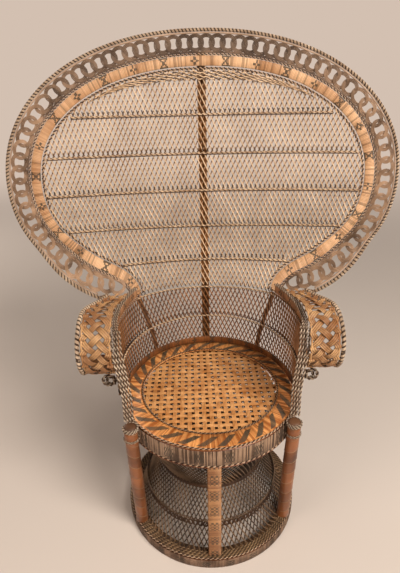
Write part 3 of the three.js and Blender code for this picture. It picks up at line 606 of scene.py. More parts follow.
def cane_group():
    trees, given = shader_group(
        "aged cane",
        {
            "Dark": ("Color", srgb("6b4c33")),
            "Light": ("Color", srgb("c9a680")),
            "Tone": ("Float", 0.5),
            "Tone Share": ("Float", 0.4),
            "Blotch Size": ("Float", 18.0),
            "Base Roughness": ("Float", 0.5),
        },
        {"Color": "Color", "Roughness": "Float", "Height": "Float"},
    )
    place = trees.add("ShaderNodeTexCoord").outputs["Object"]
    blotch = trees.add(
        "ShaderNodeTexNoise", {"Vector": place, "Scale": given["Blotch Size"], "Detail": 3.0}
    ).outputs["Fac"]
    fibre = trees.add(
        "ShaderNodeTexNoise", {"Vector": place, "Scale": fibre_scale, "Detail": 2.0}
    ).outputs["Fac"]
    toned = trees.swing(given["Tone"], given["Tone Share"])
    spread = trees.swing(blotch, blotch_contrast)
    streak = trees.swing(fibre, fibre_contrast)
    share = trees.math("ADD", trees.math("ADD", toned, spread), trees.math("ADD", streak, 0.5))
    colour = blend_colours(trees, share, given["Dark"], given["Light"])
    rough = trees.math("SUBTRACT", given["Base Roughness"], trees.swing(blotch, polish))
    trees.add("NodeGroupOutput", {"Color": colour, "Roughness": rough, "Height": fibre})
    return trees.tree


aged_cane = cane_group()
print("shader group:", aged_cane.name)

# %% A finish places the group in a material


def attribute(trees, name):
    return trees.add("ShaderNodeAttribute", attribute_name=name).outputs["Fac"]


def cleared(owner):
    """The helper for the empty node tree of a material or of the world."""
    owner.use_nodes = True
    owner.node_tree.nodes.clear()
    return Trees(owner.node_tree)


def finish(
    name,
    dark,
    light,
    roughness,
    tone=None,
    mask=None,
    mark_colour="3a352c",
    tone_share=0.4,
    blotch=18.0,
    coat=0.0,
):
    """A material of cane. tone and mask are functions that add nodes and return a socket. The mask's colour
    is a stain in some finishes and painted shade in others.
    """
    material = bpy.data.materials.new(name)
    trees = cleared(material)
    values = {
        "Dark": srgb(dark),
        "Light": srgb(light),
        "Base Roughness": roughness,
        "Tone Share": tone_share,
        "Blotch Size": blotch,
    }
    if tone:
        values["Tone"] = tone(trees)
    group = trees.add("ShaderNodeGroup", values, node_tree=aged_cane)
    colour = group.outputs["Color"]
    if mask:
        colour = blend_colours(trees, mask(trees), colour, srgb(mark_colour))
    bump = trees.add(
        "ShaderNodeBump",
        {"Height": group.outputs["Height"], "Strength": 0.25, "Distance": 0.0006},
    )
    shader = trees.add(
        "ShaderNodeBsdfPrincipled",
        {
            "Base Color": colour,
            "Roughness": group.outputs["Roughness"],
            "Normal": bump.outputs[0],
            "Specular IOR Level": 0.4,
            "Coat Weight": coat,
        },
    )
    trees.add("ShaderNodeOutputMaterial", {"Surface": shader.outputs[0]})
    return material


# %% [markdown]
# ## Stained motifs
# Before winding, some strips are stained nearly black, and the weaver floats them over the band in small
# figures: a cross, then a flower, then a cross again. Because every wrap knows how far along and across its
# band it lies, a figure is only a rule in these two numbers. Across runs from -1 at one edge of a band to 1
# at the other.

# %% Crosses and flowers

edge_bar_from = 0.72
cross_width = 0.24
petal_reach = 0.62
petal_swing = 0.3
flower_eye = 0.24
motif_stain = 0.85
# Some wraps are darkened to thin lines: painted shade where wraps meet.
seam_shade_share = 0.22
seam_shade_strength = 0.32


def motif_group():
    """Dark crosses and flowers in turn along a band, and thin dark lines at some of its wraps: painted
    shade where wraps meet.
    """
    trees, given = shader_group(
        "woven motifs",
        {
            "Along": ("Float", 0.0),
            "Across": ("Float", 0.0),
            "Every": ("Float", 0.087),
            "Half Length": ("Float", 0.013),
            "Tone": ("Float", 1.0),
        },
        {"Mask": "Float"},
    )
    count = trees.math("DIVIDE", given["Along"], given["Every"])
    number = trees.math("FLOOR", count)
    inside = trees.math("SUBTRACT", trees.math("FRACT", count), 0.5)
    u = trees.math("DIVIDE", trees.math("MULTIPLY", inside, given["Every"]), given["Half Length"])
    across_u = trees.math("ABSOLUTE", u)
    across_v = trees.math("ABSOLUTE", given["Across"])
    is_inside = trees.math("LESS_THAN", across_u, 1.0)
    gap = trees.math("ABSOLUTE", trees.math("SUBTRACT", across_u, across_v))
    bars = trees.math("GREATER_THAN", across_v, edge_bar_from)
    cross = trees.math("MAXIMUM", trees.math("LESS_THAN", gap, cross_width), bars)
    reach = trees.math(
        "SQRT",
        trees.math(
            "ADD", trees.math("MULTIPLY", u, u), trees.math("MULTIPLY", across_v, across_v)
        ),
    )
    angle = trees.math("ARCTAN2", given["Across"], u)
    four_times = trees.math("COSINE", trees.math("MULTIPLY", angle, 4.0))
    petals = trees.math("MULTIPLY", four_times, petal_swing)
    petal_edge = trees.math("LESS_THAN", reach, trees.math("ADD", petals, petal_reach))
    centre = trees.math("GREATER_THAN", reach, flower_eye)
    flower = trees.math("MULTIPLY", petal_edge, centre)
    which = trees.math("MODULO", trees.math("ABSOLUTE", number), 2.0)
    other = trees.math("SUBTRACT", 1.0, which)
    figure = trees.math(
        "ADD", trees.math("MULTIPLY", cross, which), trees.math("MULTIPLY", flower, other)
    )
    mask = trees.math("MULTIPLY", trees.math("MULTIPLY", figure, is_inside), motif_stain)
    is_seam = trees.math("LESS_THAN", given["Tone"], seam_shade_share)
    seam_shade = trees.math("MULTIPLY", is_seam, seam_shade_strength)
    trees.add("NodeGroupOutput", {"Mask": trees.math("MAXIMUM", mask, seam_shade)})
    return trees.tree


woven_motifs = motif_group()
print("shader group:", woven_motifs.name)


def motifs(every, half_length):
    def mask(trees):
        group = trees.add(
            "ShaderNodeGroup",
            {
                "Along": attribute(trees, "along"),
                "Across": attribute(trees, "across"),
                "Tone": attribute(trees, "tone"),
                "Every": every,
                "Half Length": half_length,
            },
            node_tree=woven_motifs,
        )
        return group.outputs["Mask"]

    return mask


# %% Small blocks and slanting stripes

dash_width = 0.34
dash_half_gap = 0.15
block_reach = 0.66
block_stain = 0.8
stripe_reach = 0.62
stripe_least_stain = 0.68
stripe_more_stain = 0.3


def checks(every, half_length, shift=0.0, row=0.0035):
    """Small woven blocks of stained dashes, a different set of them in every second wrap."""

    def mask(trees):
        moved = trees.math("ADD", attribute(trees, "along"), shift)
        part = trees.math("SUBTRACT", trees.math("FRACT", trees.math("DIVIDE", moved, every)), 0.5)
        near = trees.math("LESS_THAN", trees.math("ABSOLUTE", part), half_length / every)
        across = trees.math("ABSOLUTE", attribute(trees, "across"))
        number = trees.math("FLOOR", trees.math("DIVIDE", moved, row))
        odd = trees.math("MODULO", trees.math("ABSOLUTE", number), 2.0)
        folded = trees.math("PINGPONG", across, dash_width)
        wide = trees.math("LESS_THAN", folded, dash_half_gap)
        other = trees.math("SUBTRACT", 1.0, wide)
        dash = trees.math(
            "ADD",
            trees.math("MULTIPLY", wide, odd),
            trees.math("MULTIPLY", other, trees.math("SUBTRACT", 1.0, odd)),
        )
        inside = trees.math("LESS_THAN", across, block_reach)
        block = trees.math("MULTIPLY", near, inside)
        return trees.math("MULTIPLY", trees.math("MULTIPLY", dash, block), block_stain)

    return mask


def swirl(every, slant, share):
    """Slanting dark stripes across the middle of a band. Each wrap in them is stained by its own amount."""

    def mask(trees):
        across = attribute(trees, "across")
        moved = trees.math("ADD", attribute(trees, "along"), trees.math("MULTIPLY", across, slant))
        part = trees.math("FRACT", trees.math("DIVIDE", moved, every))
        stripe = trees.math("LESS_THAN", part, share)
        middle = trees.math("LESS_THAN", trees.math("ABSOLUTE", across), stripe_reach)
        more = trees.math("MULTIPLY", attribute(trees, "tone"), stripe_more_stain)
        depth = trees.math("ADD", more, stripe_least_stain)
        return trees.math("MULTIPLY", trees.math("MULTIPLY", stripe, middle), depth)

    return mask


# %% [markdown]
# ## Dark strands and painted shade
# A rope is twisted from dyed and plain strands, so its finish asks for a strand's number. Canes that lie
# behind get painted shadow beside each crossing, where the front cane shades them. Painted shade darkens
# the loops at the top of the fan, and the foot of the pole up the back is darker as well.

# %% Masks for strands, painted shadow at each crossing, and heights

crossing_middle = 0.27
crossing_half_width = 0.13
crossing_shadow_strength = 0.85


def dark_strands(first):
    """Full for the strands from that number on."""

    def mask(trees):
        return trees.math("GREATER_THAN", attribute(trees, "strand"), first - 0.5)

    return mask


def every_second_strand(trees):
    """Full for every second strand of a twist."""
    strand = attribute(trees, "strand")
    return trees.math("GREATER_THAN", trees.math("MODULO", strand, 2.0), 0.5)


def painted_crossing_shadows(trees):
    """Painted shadow: dark spots on the canes that lie behind, each just before a cane that crosses in
    front.
    """
    part = trees.math("FRACT", attribute(trees, "crossing"))
    away = trees.math("ABSOLUTE", trees.math("SUBTRACT", part, crossing_middle))
    near = trees.math("LESS_THAN", away, crossing_half_width)
    return trees.math("MULTIPLY", near, crossing_shadow_strength)


def height_in(trees):
    place = trees.add("ShaderNodeTexCoord").outputs["Object"]
    return trees.add("ShaderNodeSeparateXYZ", {0: place}).outputs[2]


def painted_shade_at_top(trees):
    """Painted shade: rises from nothing at the shoulders of the fan to most of the dark colour at its top.
    """
    ramp = trees.add("ShaderNodeMapRange", {0: height_in(trees), 1: 1.12, 2: 1.36, 3: 0.0, 4: 0.62})
    return ramp.outputs[0]


def low_part(height, share):
    """That share of the darker colour below a height and none above it."""

    def mask(trees):
        return trees.math("MULTIPLY", trees.math("LESS_THAN", height_in(trees), height), share)

    return mask


# %% The tone of a wrap

patch_contrast = 3.0


def patches(size):
    """The tone of each wrap, with slow changes along the band where one strip ends and another begins."""

    def tone(trees):
        along = attribute(trees, "along")
        slow = trees.add(
            "ShaderNodeTexNoise",
            {"W": trees.math("DIVIDE", along, size), "Scale": 1.0, "Detail": 1.0},
            noise_dimensions="1D",
        ).outputs["Fac"]
        return trees.math("ADD", attribute(trees, "tone"), trees.swing(slow, patch_contrast))

    return tone


def own_tone(trees):
    return attribute(trees, "tone")


# %% [markdown]
# ## Naming the finishes
# Each finish has the two ends of its colour range, a roughness and, where the real cane is stained or shade
# is painted, a mask. The canes that lie behind in a lattice are given darker colours than those in front:
# painted shade, for the less light that reaches them.

# %% Finishes of lattices and hoops

finishes = {
    "lattice cane": finish("lattice_cane", "b8946e", "f2d4b0", 0.5, blotch=14.0),
    # The fan's layer behind: a darker copy of the front cane as painted shade, with painted shadow spots at
    # each crossing.
    "lattice shade": finish(
        "lattice_cane_behind", "86644a", "b8926e", 0.55, mask=painted_crossing_shadows, mark_colour="3c2412", blotch=14.0
    ),
    # The wall's layer behind: a darker copy of the wall cane as painted shade, with painted shadow spots at
    # each crossing.
    "wall shade": finish(
        "wall_cane_behind", "4f3420", "80593b", 0.55, mask=painted_crossing_shadows, mark_colour="2a170b", blotch=14.0
    ),
    # The stand's inner layer: a very dark copy of its cane, painted shade for the dim inside.
    "stand inside painted shade": finish("dark_lattice_cane", "1e130c", "4e3624", 0.55, blotch=14.0),
    "stand cane": finish("stand_cane", "3c2c1f", "8e7155", 0.55, blotch=14.0),
    "wall cane": finish("wall_cane", "6b4325", "ac7647", 0.5, blotch=14.0),
    "hoop cane": finish("hoop_cane", "8f755f", "bfa28b", 0.45),
    "spine pole": finish(
        "spine_pole", "5e3a20", "96622f", 0.5, mask=low_part(0.63, 0.6), mark_colour="2c150a", blotch=9.0
    ),
    # Used for real bindings and stitches, and also for thin dark canes that paint shade: below the seat
    # panel, below the fan's rows and between the canes of the arm plait.
    "dark binding and painted shade": finish("dark_binding", "24160d", "533722", 0.6),
}

# %% Finishes of twists, ropes and loops

finishes |= {
    "edging": finish(
        "two_tone_edging", "a4836a", "dcbfa0", 0.6, mask=every_second_strand, mark_colour="3f291d"
    ),
    "brown edging": finish(
        "brown_edging", "7f6046", "b99a78", 0.55, mask=every_second_strand, mark_colour="3b291c"
    ),
    "rim rope": finish("rim_rope", "a58a70", "dcc6ac", 0.5, mask=dark_strands(3), mark_colour="4a3628"),
    "row rope": finish("row_rope", "b89674", "f2d8b6", 0.5, mask=dark_strands(2), mark_colour="75563d"),
    "ring rope": finish(
        "ring_rope", "7a5f45", "b0946f", 0.55, mask=every_second_strand, mark_colour="4c3725"
    ),
    "strip rope": finish(
        "strip_rope", "a08b76", "d8c6b0", 0.5, mask=every_second_strand, mark_colour="5a4433"
    ),
    "honey pole": finish("honey_pole", "9a5f33", "d2965e", 0.38, coat=0.2, blotch=9.0),
    "loop cane with painted top shade": finish(
        "loop_cane",
        "5a4534",
        "bd9b7e",
        0.5,
        tone=own_tone,
        tone_share=0.5,
        # Above the fan's shoulders these loops darken towards the colour below: painted shade.
        mask=painted_shade_at_top,
        mark_colour="2e2017",
    ),
}

# %% Finishes of wound bands

finishes |= {
    "fan band": finish(
        "fan_band_cane",
        "b28259",
        "f0c69c",
        0.42,
        tone=patches(0.09),
        mask=motifs(0.087, 0.012),
        tone_share=0.45,
        blotch=7.0,
        coat=0.1,
    ),
    "wing band": finish(
        "wing_band_cane", "7b5438", "c4926a", 0.45, tone=patches(0.05), mask=motifs(0.06, 0.012)
    ),
    "seat border": finish(
        "seat_border_cane",
        "a9622c",
        "f4b06a",
        0.4,
        tone=patches(0.012),
        mask=swirl(0.0482, 0.03, 0.42),
        mark_colour="45463d",
        tone_share=0.8,
        coat=0.15,
    ),
    "apron": finish(
        "apron_cane",
        "4e392a",
        "ab8d74",
        0.5,
        tone=patches(0.006),
        tone_share=1.0,
        mask=checks(0.079, 0.013, row=0.0032),
    ),
    "floor ring": finish(
        "floor_ring_cane",
        "564031",
        "93755f",
        0.55,
        tone=patches(0.02),
        tone_share=0.5,
        mask=checks(0.07, 0.012),
    ),
    "ring weave": finish(
        "floor_ring_weave", "3f2b1c", "8f6b48", 0.55, tone=patches(0.004), tone_share=0.9
    ),
    "frieze": finish(
        "frieze_cane", "623718", "985f34", 0.42, tone=patches(0.05), mask=motifs(0.062, 0.009)
    ),
    "slat": finish(
        "slat_cane",
        "85583a",
        "c09062",
        0.42,
        tone=patches(0.01),
        mask=checks(0.057, 0.0170, shift=0.0245, row=0.0058),
    ),
}

# %% Finishes of the seat, the arms, the legs and the poles

finishes |= {
    "seat weave": finish("seat_weave", "bd7c3f", "f2ba7c", 0.4, blotch=34.0, coat=0.15),
    "arm plait": finish(
        "arm_plait", "96663e", "eac08c", 0.42, blotch=22.0, tone=own_tone, tone_share=0.5
    ),
    "leg bark": finish(
        "leg_bark", "4f2c19", "9c6038", 0.42, blotch=12.0, coat=0.2, tone=own_tone, tone_share=0.5
    ),
    "post pole": finish("post_pole", "4a2c18", "80553a", 0.45, blotch=9.0),
    "leg head": finish("leg_head", "3c271a", "694831", 0.55, blotch=20.0),
    "rattan pole": finish("rattan_pole", "4a2514", "8c5331", 0.4, blotch=9.0, coat=0.2),
}
print("finishes:", len(finishes))

# %% [markdown]
# ## Four helpers for four kinds of work
# Most pieces are now one call: a path, a place function that bends it and a few sizes. `canes` sweeps
# single canes, `twist` lays two or more strands that touch, `ticks` sews short stitches over a lattice, and
# `wound` fills a band with wraps of one pitch.

# %% Canes and twists

untwisted = 1000.0
strand_press = 0.94
steps_in_turn = 7


def as_is(points):
    return points


def canes(paths, place, width, look, thickness=None, step=0.008, sides=5):
    mesh = grow(
        strand_work,
        paths,
        step=step,
        width=width,
        thickness=thickness or width,
        strands=1,
        lay_radius=0.0,
        turn_length=untwisted,
        sides=sides,
        material=finishes[look],
    )
    return move_points(mesh, place)


def twist(paths, place, strand, turn, look, strands=2):
    """Strands that touch and turn once round their middle line in the length of a turn."""
    mesh = grow(
        strand_work,
        paths,
        step=turn / steps_in_turn,
        width=strand,
        thickness=strand,
        strands=strands,
        lay_radius=strand / 2 / math.sin(math.pi / strands) * strand_press,
        turn_length=turn,
        sides=5,
        material=finishes[look],
    )
    return move_points(mesh, place)


# %% Stitches and wound bands

stitch_cane = 0.0030
stitch_width = 0.0036
stitch_height = 0.0094
stitch_sink = 0.0010
stitch_bulge = 0.0062
wrap_overlap = 1.04
wrap_corner_share = 0.3
wrap_wander = 0.00012


def ticks(path, place, pitch, look):
    """Short slanting stitches over a lattice, evenly spaced along a line, with their ends behind it."""
    climb = np.linspace(0.5, -0.5, 7)
    off = stitch_bulge * np.sin(np.linspace(0, math.pi, 7)) ** 0.6 - stitch_sink
    first = path[0, 0]
    lines = []
    for number in range(int((path[-1, 0] - first) / pitch)):
        middle = first + (number + 0.5) * pitch
        height = np.interp(middle, path[:, 0], path[:, 1])
        across = middle - stitch_width * climb
        lines.append(np.column_stack([across, height + stitch_height * climb, off]))
    return canes(lines, place, stitch_cane, look, step=0.002)


def path_length(path):
    return float(np.linalg.norm(np.diff(path, axis=0), axis=1).sum())


def wound(path, place, across, depth, pitch, look, seed, cane=0.0012):
    mesh = grow(
        winding_work,
        [path],
        wraps=round(path_length(path) / pitch),
        wrap_width=wrap_overlap * pitch,
        cane_thickness=cane,
        across=across,
        depth=depth,
        corner=min(depth, across) * wrap_corner_share,
        wander=wrap_wander,
        seed=seed,
        material=finishes[look],
    )
    return move_points(mesh, place)


# %% Several meshes joined to one


def joined(*meshes):
    """One mesh from several, each with its own finish and attributes."""
    made = [bpy.data.objects.new("joined", mesh) for mesh in meshes]
    for one in made:
        bpy.context.scene.collection.objects.link(one)
    with bpy.context.temp_override(
        active_object=made[0], object=made[0], selected_objects=made, selected_editable_objects=made
    ):
        bpy.ops.object.join()
    mesh = made[0].data
    bpy.data.objects.remove(made[0])
    return mesh


# %% [markdown]
# ## The floor ring
# Two poles, a wound band over them and four ropes laid side by side on top. All of it is round, so each
# path is one full turn. The ropes lie on a thin wound band, so that nothing shows through between them.

# %% Poles and winding of the floor ring

pole_radius = 0.2559
ring_pole_width = 0.0133
for name, node, height in (
    ("floor_ring_lower_pole", "base_hoop_bottom", 0.0068),
    ("floor_ring_upper_pole", "base_hoop_top", 0.0232),
):
    line = full_turn(pole_radius, height)
    pole = canes([line], roll_upright(pole_radius), ring_pole_width, "rattan pole", sides=12)
    piece(name, pole, node)

wrap_radius = ring_radius - 0.0015
wrap_pitch = 0.0042
piece(
    "floor_ring_winding",
    wound(
        full_turn(wrap_radius, 0.0150, short=wrap_pitch),
        roll_upright(wrap_radius),
        across=0.0294,
        depth=0.0029,
        pitch=wrap_pitch,
        look="floor ring",
        seed=11,
    ),
    "base_wrap",
)

# %% Ropes on the floor ring

braid_middle = ring_radius - 0.0215
braid_pitch = 0.0045
rows = [
    wound(
        full_turn(braid_middle, short=braid_pitch),
        roll_lying(braid_middle, 0.0314),
        across=0.0368,
        depth=0.0020,
        pitch=braid_pitch,
        look="ring weave",
        seed=12,
        cane=0.001,
    )
]
outer_rope = ring_radius - 0.0040
rope_spacing = 0.0066
for number in range(4):
    radius = outer_rope - number * rope_spacing
    look = "edging" if number == 0 else "ring rope"
    place = roll_lying(radius, 0.0336)
    rows.append(twist([full_turn(radius)], place, strand=0.0029, turn=0.0132, look=look))
piece("floor_ring_braid", joined(*rows), "base_braid")

# %% [markdown]
# ## The hourglass stand
# Every cane of the stand leans by the same angle all the way, so it climbs the cones as a curve whose turn
# round the axis is added up from the foot: a small step along the cane turns it more where the stand is
# narrow.

# %% The canes of the stand

cane_lean = math.tan(math.radians(26))
waist_radius = 0.158
waist_height = 0.200
stand_foot = 0.0352
stand_top = 0.3686
stand_canes = 96
stand_heights = (0.0348, 0.194, 0.206, 0.3690)
stand_radii = (0.2280, waist_radius, waist_radius, 0.2360)


def stand_radius(z):
    return np.interp(z, stand_heights, stand_radii)


def stand_cane(start, side):
    """One cane of the stand. It lies flat on the ring for a short way before it climbs."""
    z = np.linspace(stand_foot, stand_top, 49)
    radius = stand_radius(z)
    slope = np.gradient(radius, z)
    turn = cane_lean * np.sqrt(1 + slope**2) / radius
    angle = np.concatenate([[0], np.cumsum((turn[1:] + turn[:-1]) / 2 * np.diff(z))])
    flat = np.array([0.0120, 0.0080, 0.0040])
    angle = np.concatenate([-cane_lean * flat / radius[0], angle])
    radius = np.concatenate([radius[0] + flat, radius])
    z = np.concatenate([np.full(len(flat), stand_foot - 0.0010), z])
    angle = start + side * angle
    away = radius - side * 0.0015
    return np.column_stack([away * np.sin(angle), seat_y - away * np.cos(angle), z])


def stand_layer(side, look):
    starts = [math.tau * number / stand_canes for number in range(stand_canes)]
    return canes([stand_cane(start, side) for start in starts], as_is, width=0.0036, look=look)


# The inner layer has a far darker finish than the outer one: painted shade for the inside of the stand.
piece(
    "stand_lattice",
    joined(stand_layer(-1, "stand cane"), stand_layer(1, "stand inside painted shade")),
    "stand_net_lower",
    "stand_net_upper",
)

# %% [markdown]
# ## The waist and the row of the stand
# A wound hoop holds the canes together at the waist. Lower down two pairs of dark cords run round the stand
# in waves that cross, with a thin pale pair above them. A wave has to close on itself, so a turn is a whole
# number of waves.

# %% Waist hoop

waist_pitch = 0.004
piece(
    "stand_waist_hoop",
    wound(
        full_turn(waist_radius, waist_height, short=waist_pitch),
        roll_upright(waist_radius),
        across=0.0132,
        depth=0.0132,
        pitch=waist_pitch,
        look="dark binding and painted shade",
        seed=13,
    ),
    "stand_waist_hoop",
)

# %% Wavy row

row_height = 0.100
row_radius = float(stand_radius(row_height)) + 0.0050
wave_length = 0.030


def round_wave(radius, height, swing, phase):
    """A wavy line round the axis, a whole number of waves long."""
    path = full_turn(radius, height, rows=720)
    count = round(math.tau * radius / wave_length)
    path[:, 1] += swing * np.sin(count * path[:, 0] / radius + phase)
    return path


dark_waves = [
    round_wave(row_radius, row_height, 0.0100, phase)
    for phase in (0, 0.5, math.pi, math.pi + 0.5)
]
pale_waves = [
    round_wave(row_radius + 0.0030, row_height + 0.0150, 0.0040, phase) for phase in (0, math.pi)
]
onto_row = roll_upright(row_radius)
piece(
    "stand_row",
    joined(
        canes(dark_waves, onto_row, width=0.0036, look="dark binding and painted shade", step=0.003),
        canes(pale_waves, onto_row, width=0.0026, look="stand cane", step=0.003),
    ),
    "stand_row",
)

# %% [markdown]
# ## The seat
# The apron and the border are wound bands, one upright and one lying flat. A lying band is rolled up by its
# middle line, so its wraps become wedges that fan out from the axis, as they do on the real seat.

# %% Seat frame, apron and border

hoop_radius = seat_radius - 0.0083
for name, node, height in (
    ("seat_upper_pole", "seat_hoop_upper", 0.4157),
    ("seat_lower_pole", "seat_hoop_lower", 0.3837),
):
    line = full_turn(hoop_radius, height)
    pole = canes([line], roll_upright(hoop_radius), width=0.0157, look="rattan pole", sides=12)
    piece(name, pole, node)

apron_radius = seat_radius + 0.0015
apron_middle = 0.3997
apron_pitch = 0.0032
piece(
    "seat_apron",
    wound(
        full_turn(apron_radius, apron_middle, short=apron_pitch),
        roll_upright(apron_radius),
        across=0.0478,
        depth=0.0029,
        pitch=apron_pitch,
        look="apron",
        seed=14,
    ),
    "seat_apron",
)
border_middle = seat_radius - 0.0278
border_pitch = 0.0031
piece(
    "seat_border",
    wound(
        full_turn(border_middle, short=border_pitch),
        roll_lying(border_middle, seat_height - 0.002),
        across=0.0555,
        depth=0.0038,
        pitch=border_pitch,
        look="seat border",
        seed=15,
    ),
    "seat_border",
)

# %% [markdown]
# ## The woven panel of the seat
# The panel is a plain weave of strips. Each strip is three canes side by side, and goes over one crossing
# strip and under the next, so its height is a cosine whose phase changes with the number of the strip. A
# layer of dark canes below it is painted shade: the shaded inside of the seat that the real holes show.

# %% Lay out the canes of the panel

panel_radius = 0.1935
panel_edge = 0.004
weave_pitch = 0.0200
weave_rise = 0.0012
weave_cane = 0.0038
painted_shade_depth = 0.0050


def panel_canes(turned):
    paths = []
    count = int(panel_radius / weave_pitch)
    for strip in range(-count, count + 1):
        for side in (-1, 0, 1):
            away = strip * weave_pitch + side * weave_cane
            if abs(away) > panel_radius - panel_edge:
                continue
            reach = math.sqrt(panel_radius**2 - away**2)
            u = np.linspace(-reach, reach, max(int(reach / 0.0015), 4))
            lift = weave_rise * np.cos(math.pi * (u / weave_pitch + strip))
            flat = np.full_like(u, away)
            rows = (flat, u, -lift) if turned else (u, flat, lift)
            paths.append(np.column_stack(rows))
    return paths


def painted_shade_canes():
    """A second, darker layer below the panel, painted shade, so that its holes look deep and dark."""
    paths = []
    for number in range(-18, 19):
        away = number * weave_pitch / 2
        reach = math.sqrt((panel_radius - 0.002) ** 2 - away**2)
        paths.append(np.array([[x, away, -painted_shade_depth] for x in (-reach, 0, reach)]))
    return paths


def onto_panel(points):
    return points + (0, seat_y, seat_height - 0.0045)


# %% Weave the panel

weave = canes(
    panel_canes(False) + panel_canes(True),
    onto_panel,
    width=weave_cane,
    look="seat weave",
    thickness=0.0011,
    step=0.0031,
)
# Painted shade: a layer of dark canes below the panel.
painted_shade_layer = canes(
    painted_shade_canes(), onto_panel, width=0.0074, look="dark binding and painted shade", thickness=0.0010, step=0.02
)
piece("seat_panel", joined(weave, painted_shade_layer), "seat_panel")

# %% [markdown]
# ## Edgings and bars of the seat
# Twisted edgings cover every seam of the seat: round the panel, on the rim and under the apron. Two crossed
# bars under the panel are guessed, because a woven seat needs them and the photograph doesn't show them.

# %% Edgings of the seat

binding_radius = 0.1970
edging_height = 0.4309
onto_binding = roll_lying(binding_radius, edging_height)
onto_rim = roll_lying(seat_radius, edging_height)
binding_line = full_turn(binding_radius)
piece(
    "seat_panel_binding",
    twist([binding_line], onto_binding, strand=0.0029, turn=0.0110, look="brown edging"),
    "seat_panel_binding",
)
piece(
    "seat_top_edging",
    twist([full_turn(seat_radius)], onto_rim, strand=0.0032, turn=0.0130, look="edging"),
    "seat_edge_twist_top",
)
twisted_line = full_turn(seat_radius + 0.0004)
plain_line = full_turn(seat_radius - 0.0010)
onto_twisted = roll_lying(seat_radius, 0.3733)
onto_plain = roll_lying(seat_radius, 0.3686)
piece(
    "seat_lower_edging",
    joined(
        twist([twisted_line], onto_twisted, strand=0.0037, turn=0.0150, look="edging"),
        canes([plain_line], onto_plain, width=0.0040, look="rattan pole", sides=6),
    ),
    "seat_edge_twist_bottom",
)

# %% Cross bars

bar_width = 0.0142
bar_reach = seat_radius - 0.0180
upper_bar_height = 0.4140
lower_bar_height = 0.3992
upper_bar = [(side * bar_reach, seat_y, upper_bar_height) for side in (-1, 1)]
lower_bar = [(0, seat_y + side * hoop_radius, lower_bar_height) for side in (-1, 1)]
for level, bar in (("upper", upper_bar), ("lower", lower_bar)):
    pole = canes([bar], as_is, width=bar_width, look="rattan pole", sides=10)
    piece(f"seat_{level}_cross_bar", pole, f"seat_cross_bar_{level}")

# %% [markdown]
# ## Front legs
# A front leg is a pole with a wide strip of bark wound round it. The strip is a ribbon: it goes up the pole
# in a helix, and one of its edges stands a little proud of the next turn. A point of the ribbon is given by
# its angle round the pole and by how far across the strip it lies. The leg's head stands above the seat,
# with rope tied below.

# %% A ribbon of bark wound round a leg


def polar(degrees, away, z):
    angle = math.radians(degrees)
    return np.array([away * math.cos(angle), seat_y - away * math.sin(angle), z])


def skin(rows):
    """A smooth mesh over rows of points."""
    count, width = rows.shape[:2]
    faces = []
    for i in range(count - 1):
        a = i * width
        b = a + width
        faces.extend((a + j, a + j + 1, b + j + 1, b + j) for j in range(width - 1))
    mesh = bpy.data.meshes.new("skin")
    mesh.from_pydata(rows.reshape(-1, 3).tolist(), [], faces)
    mesh.shade_smooth()
    return mesh


def store(mesh, name, values):
    mesh.attributes.new(name, "FLOAT", "POINT").data.foreach_set("value", values)


# Places across the strip of bark, in shares of its width, and how far each lies inside the leg's skin.
bark_across = np.array([0.0, 0.06, 0.35, 0.7, 1.0, 1.06])
bark_inward = np.array([0.0010, 0.0, 0.0001, 0.0003, 0.0006, 0.0012])
bark_steps = 24


def bark_leg(foot, top, radius, pitch, seed):
    length = float(np.linalg.norm(top - foot))
    turns = length / pitch + 1
    angles = np.arange(int(turns * bark_steps) + 1) * math.tau / bark_steps
    along = (angles[:, None] / math.tau - 1 + bark_across[None, :]) * pitch
    along = np.clip(along, 0, length)
    away = radius - bark_inward[None, :] + 0 * along
    share = (along / length)[..., None]
    middle = foot * (1 - share) + top * share
    turned = np.stack(
        [np.cos(angles)[:, None] * away, np.sin(angles)[:, None] * away, 0 * away], axis=-1
    )
    mesh = skin(middle + turned)
    random = np.random.default_rng(seed).random(int(turns) + 3)
    tone = np.interp(angles / math.tau, np.arange(len(random)), random)
    store(mesh, "tone", np.repeat(tone, len(bark_across)))
    mesh.materials.append(finishes["leg bark"])
    return mesh


# %% Legs with the edge of the bark and a tie

leg_foot = polar(30, 0.249, 0.0348)
head_degrees = 39
head_away = 0.275
leg_top = polar(head_degrees, head_away, 0.4277)
leg_radius = 0.018
strip_pitch = 0.045


def along_leg(share):
    return leg_foot + np.multiply.outer(share, leg_top - leg_foot)


def strip_edge():
    """The edge of the bark strip, a thin dark line that climbs round the leg."""
    share = np.linspace(0.002, 0.998, 260)
    angle = share * (leg_top - leg_foot)[2] / strip_pitch * math.tau
    circle = np.column_stack([np.cos(angle), np.sin(angle), 0 * angle])
    return along_leg(share) + circle * (leg_radius + 0.0001)


def tie(middle, radius, turns, rope):
    """A few turns of rope round a leg."""
    angle = np.linspace(0, turns * math.tau, turns * 24 + 1)
    path = np.column_stack([np.cos(angle), np.sin(angle), 0 * angle]) * radius
    path[:, 2] = (np.linspace(0, turns, len(angle)) - turns / 2) * 1.9 * rope
    return twist([path + middle], as_is, strand=rope, turn=0.009, look="strip rope")


leg_tie_height = 0.398
leg_tie_share = (leg_tie_height - leg_foot[2]) / (leg_top - leg_foot)[2]
leg_tie = tie(along_leg(np.array([leg_tie_share]))[0], radius=0.0198, turns=2, rope=0.0020)
bark = bark_leg(leg_foot, leg_top, leg_radius, strip_pitch, seed=21)
bark_edge = canes([strip_edge()], as_is, width=0.0010, look="brown edging", step=0.005)
pair("front_leg", joined(bark, bark_edge, leg_tie), "front_leg")

# %% Rounded heads of the legs, with their ties

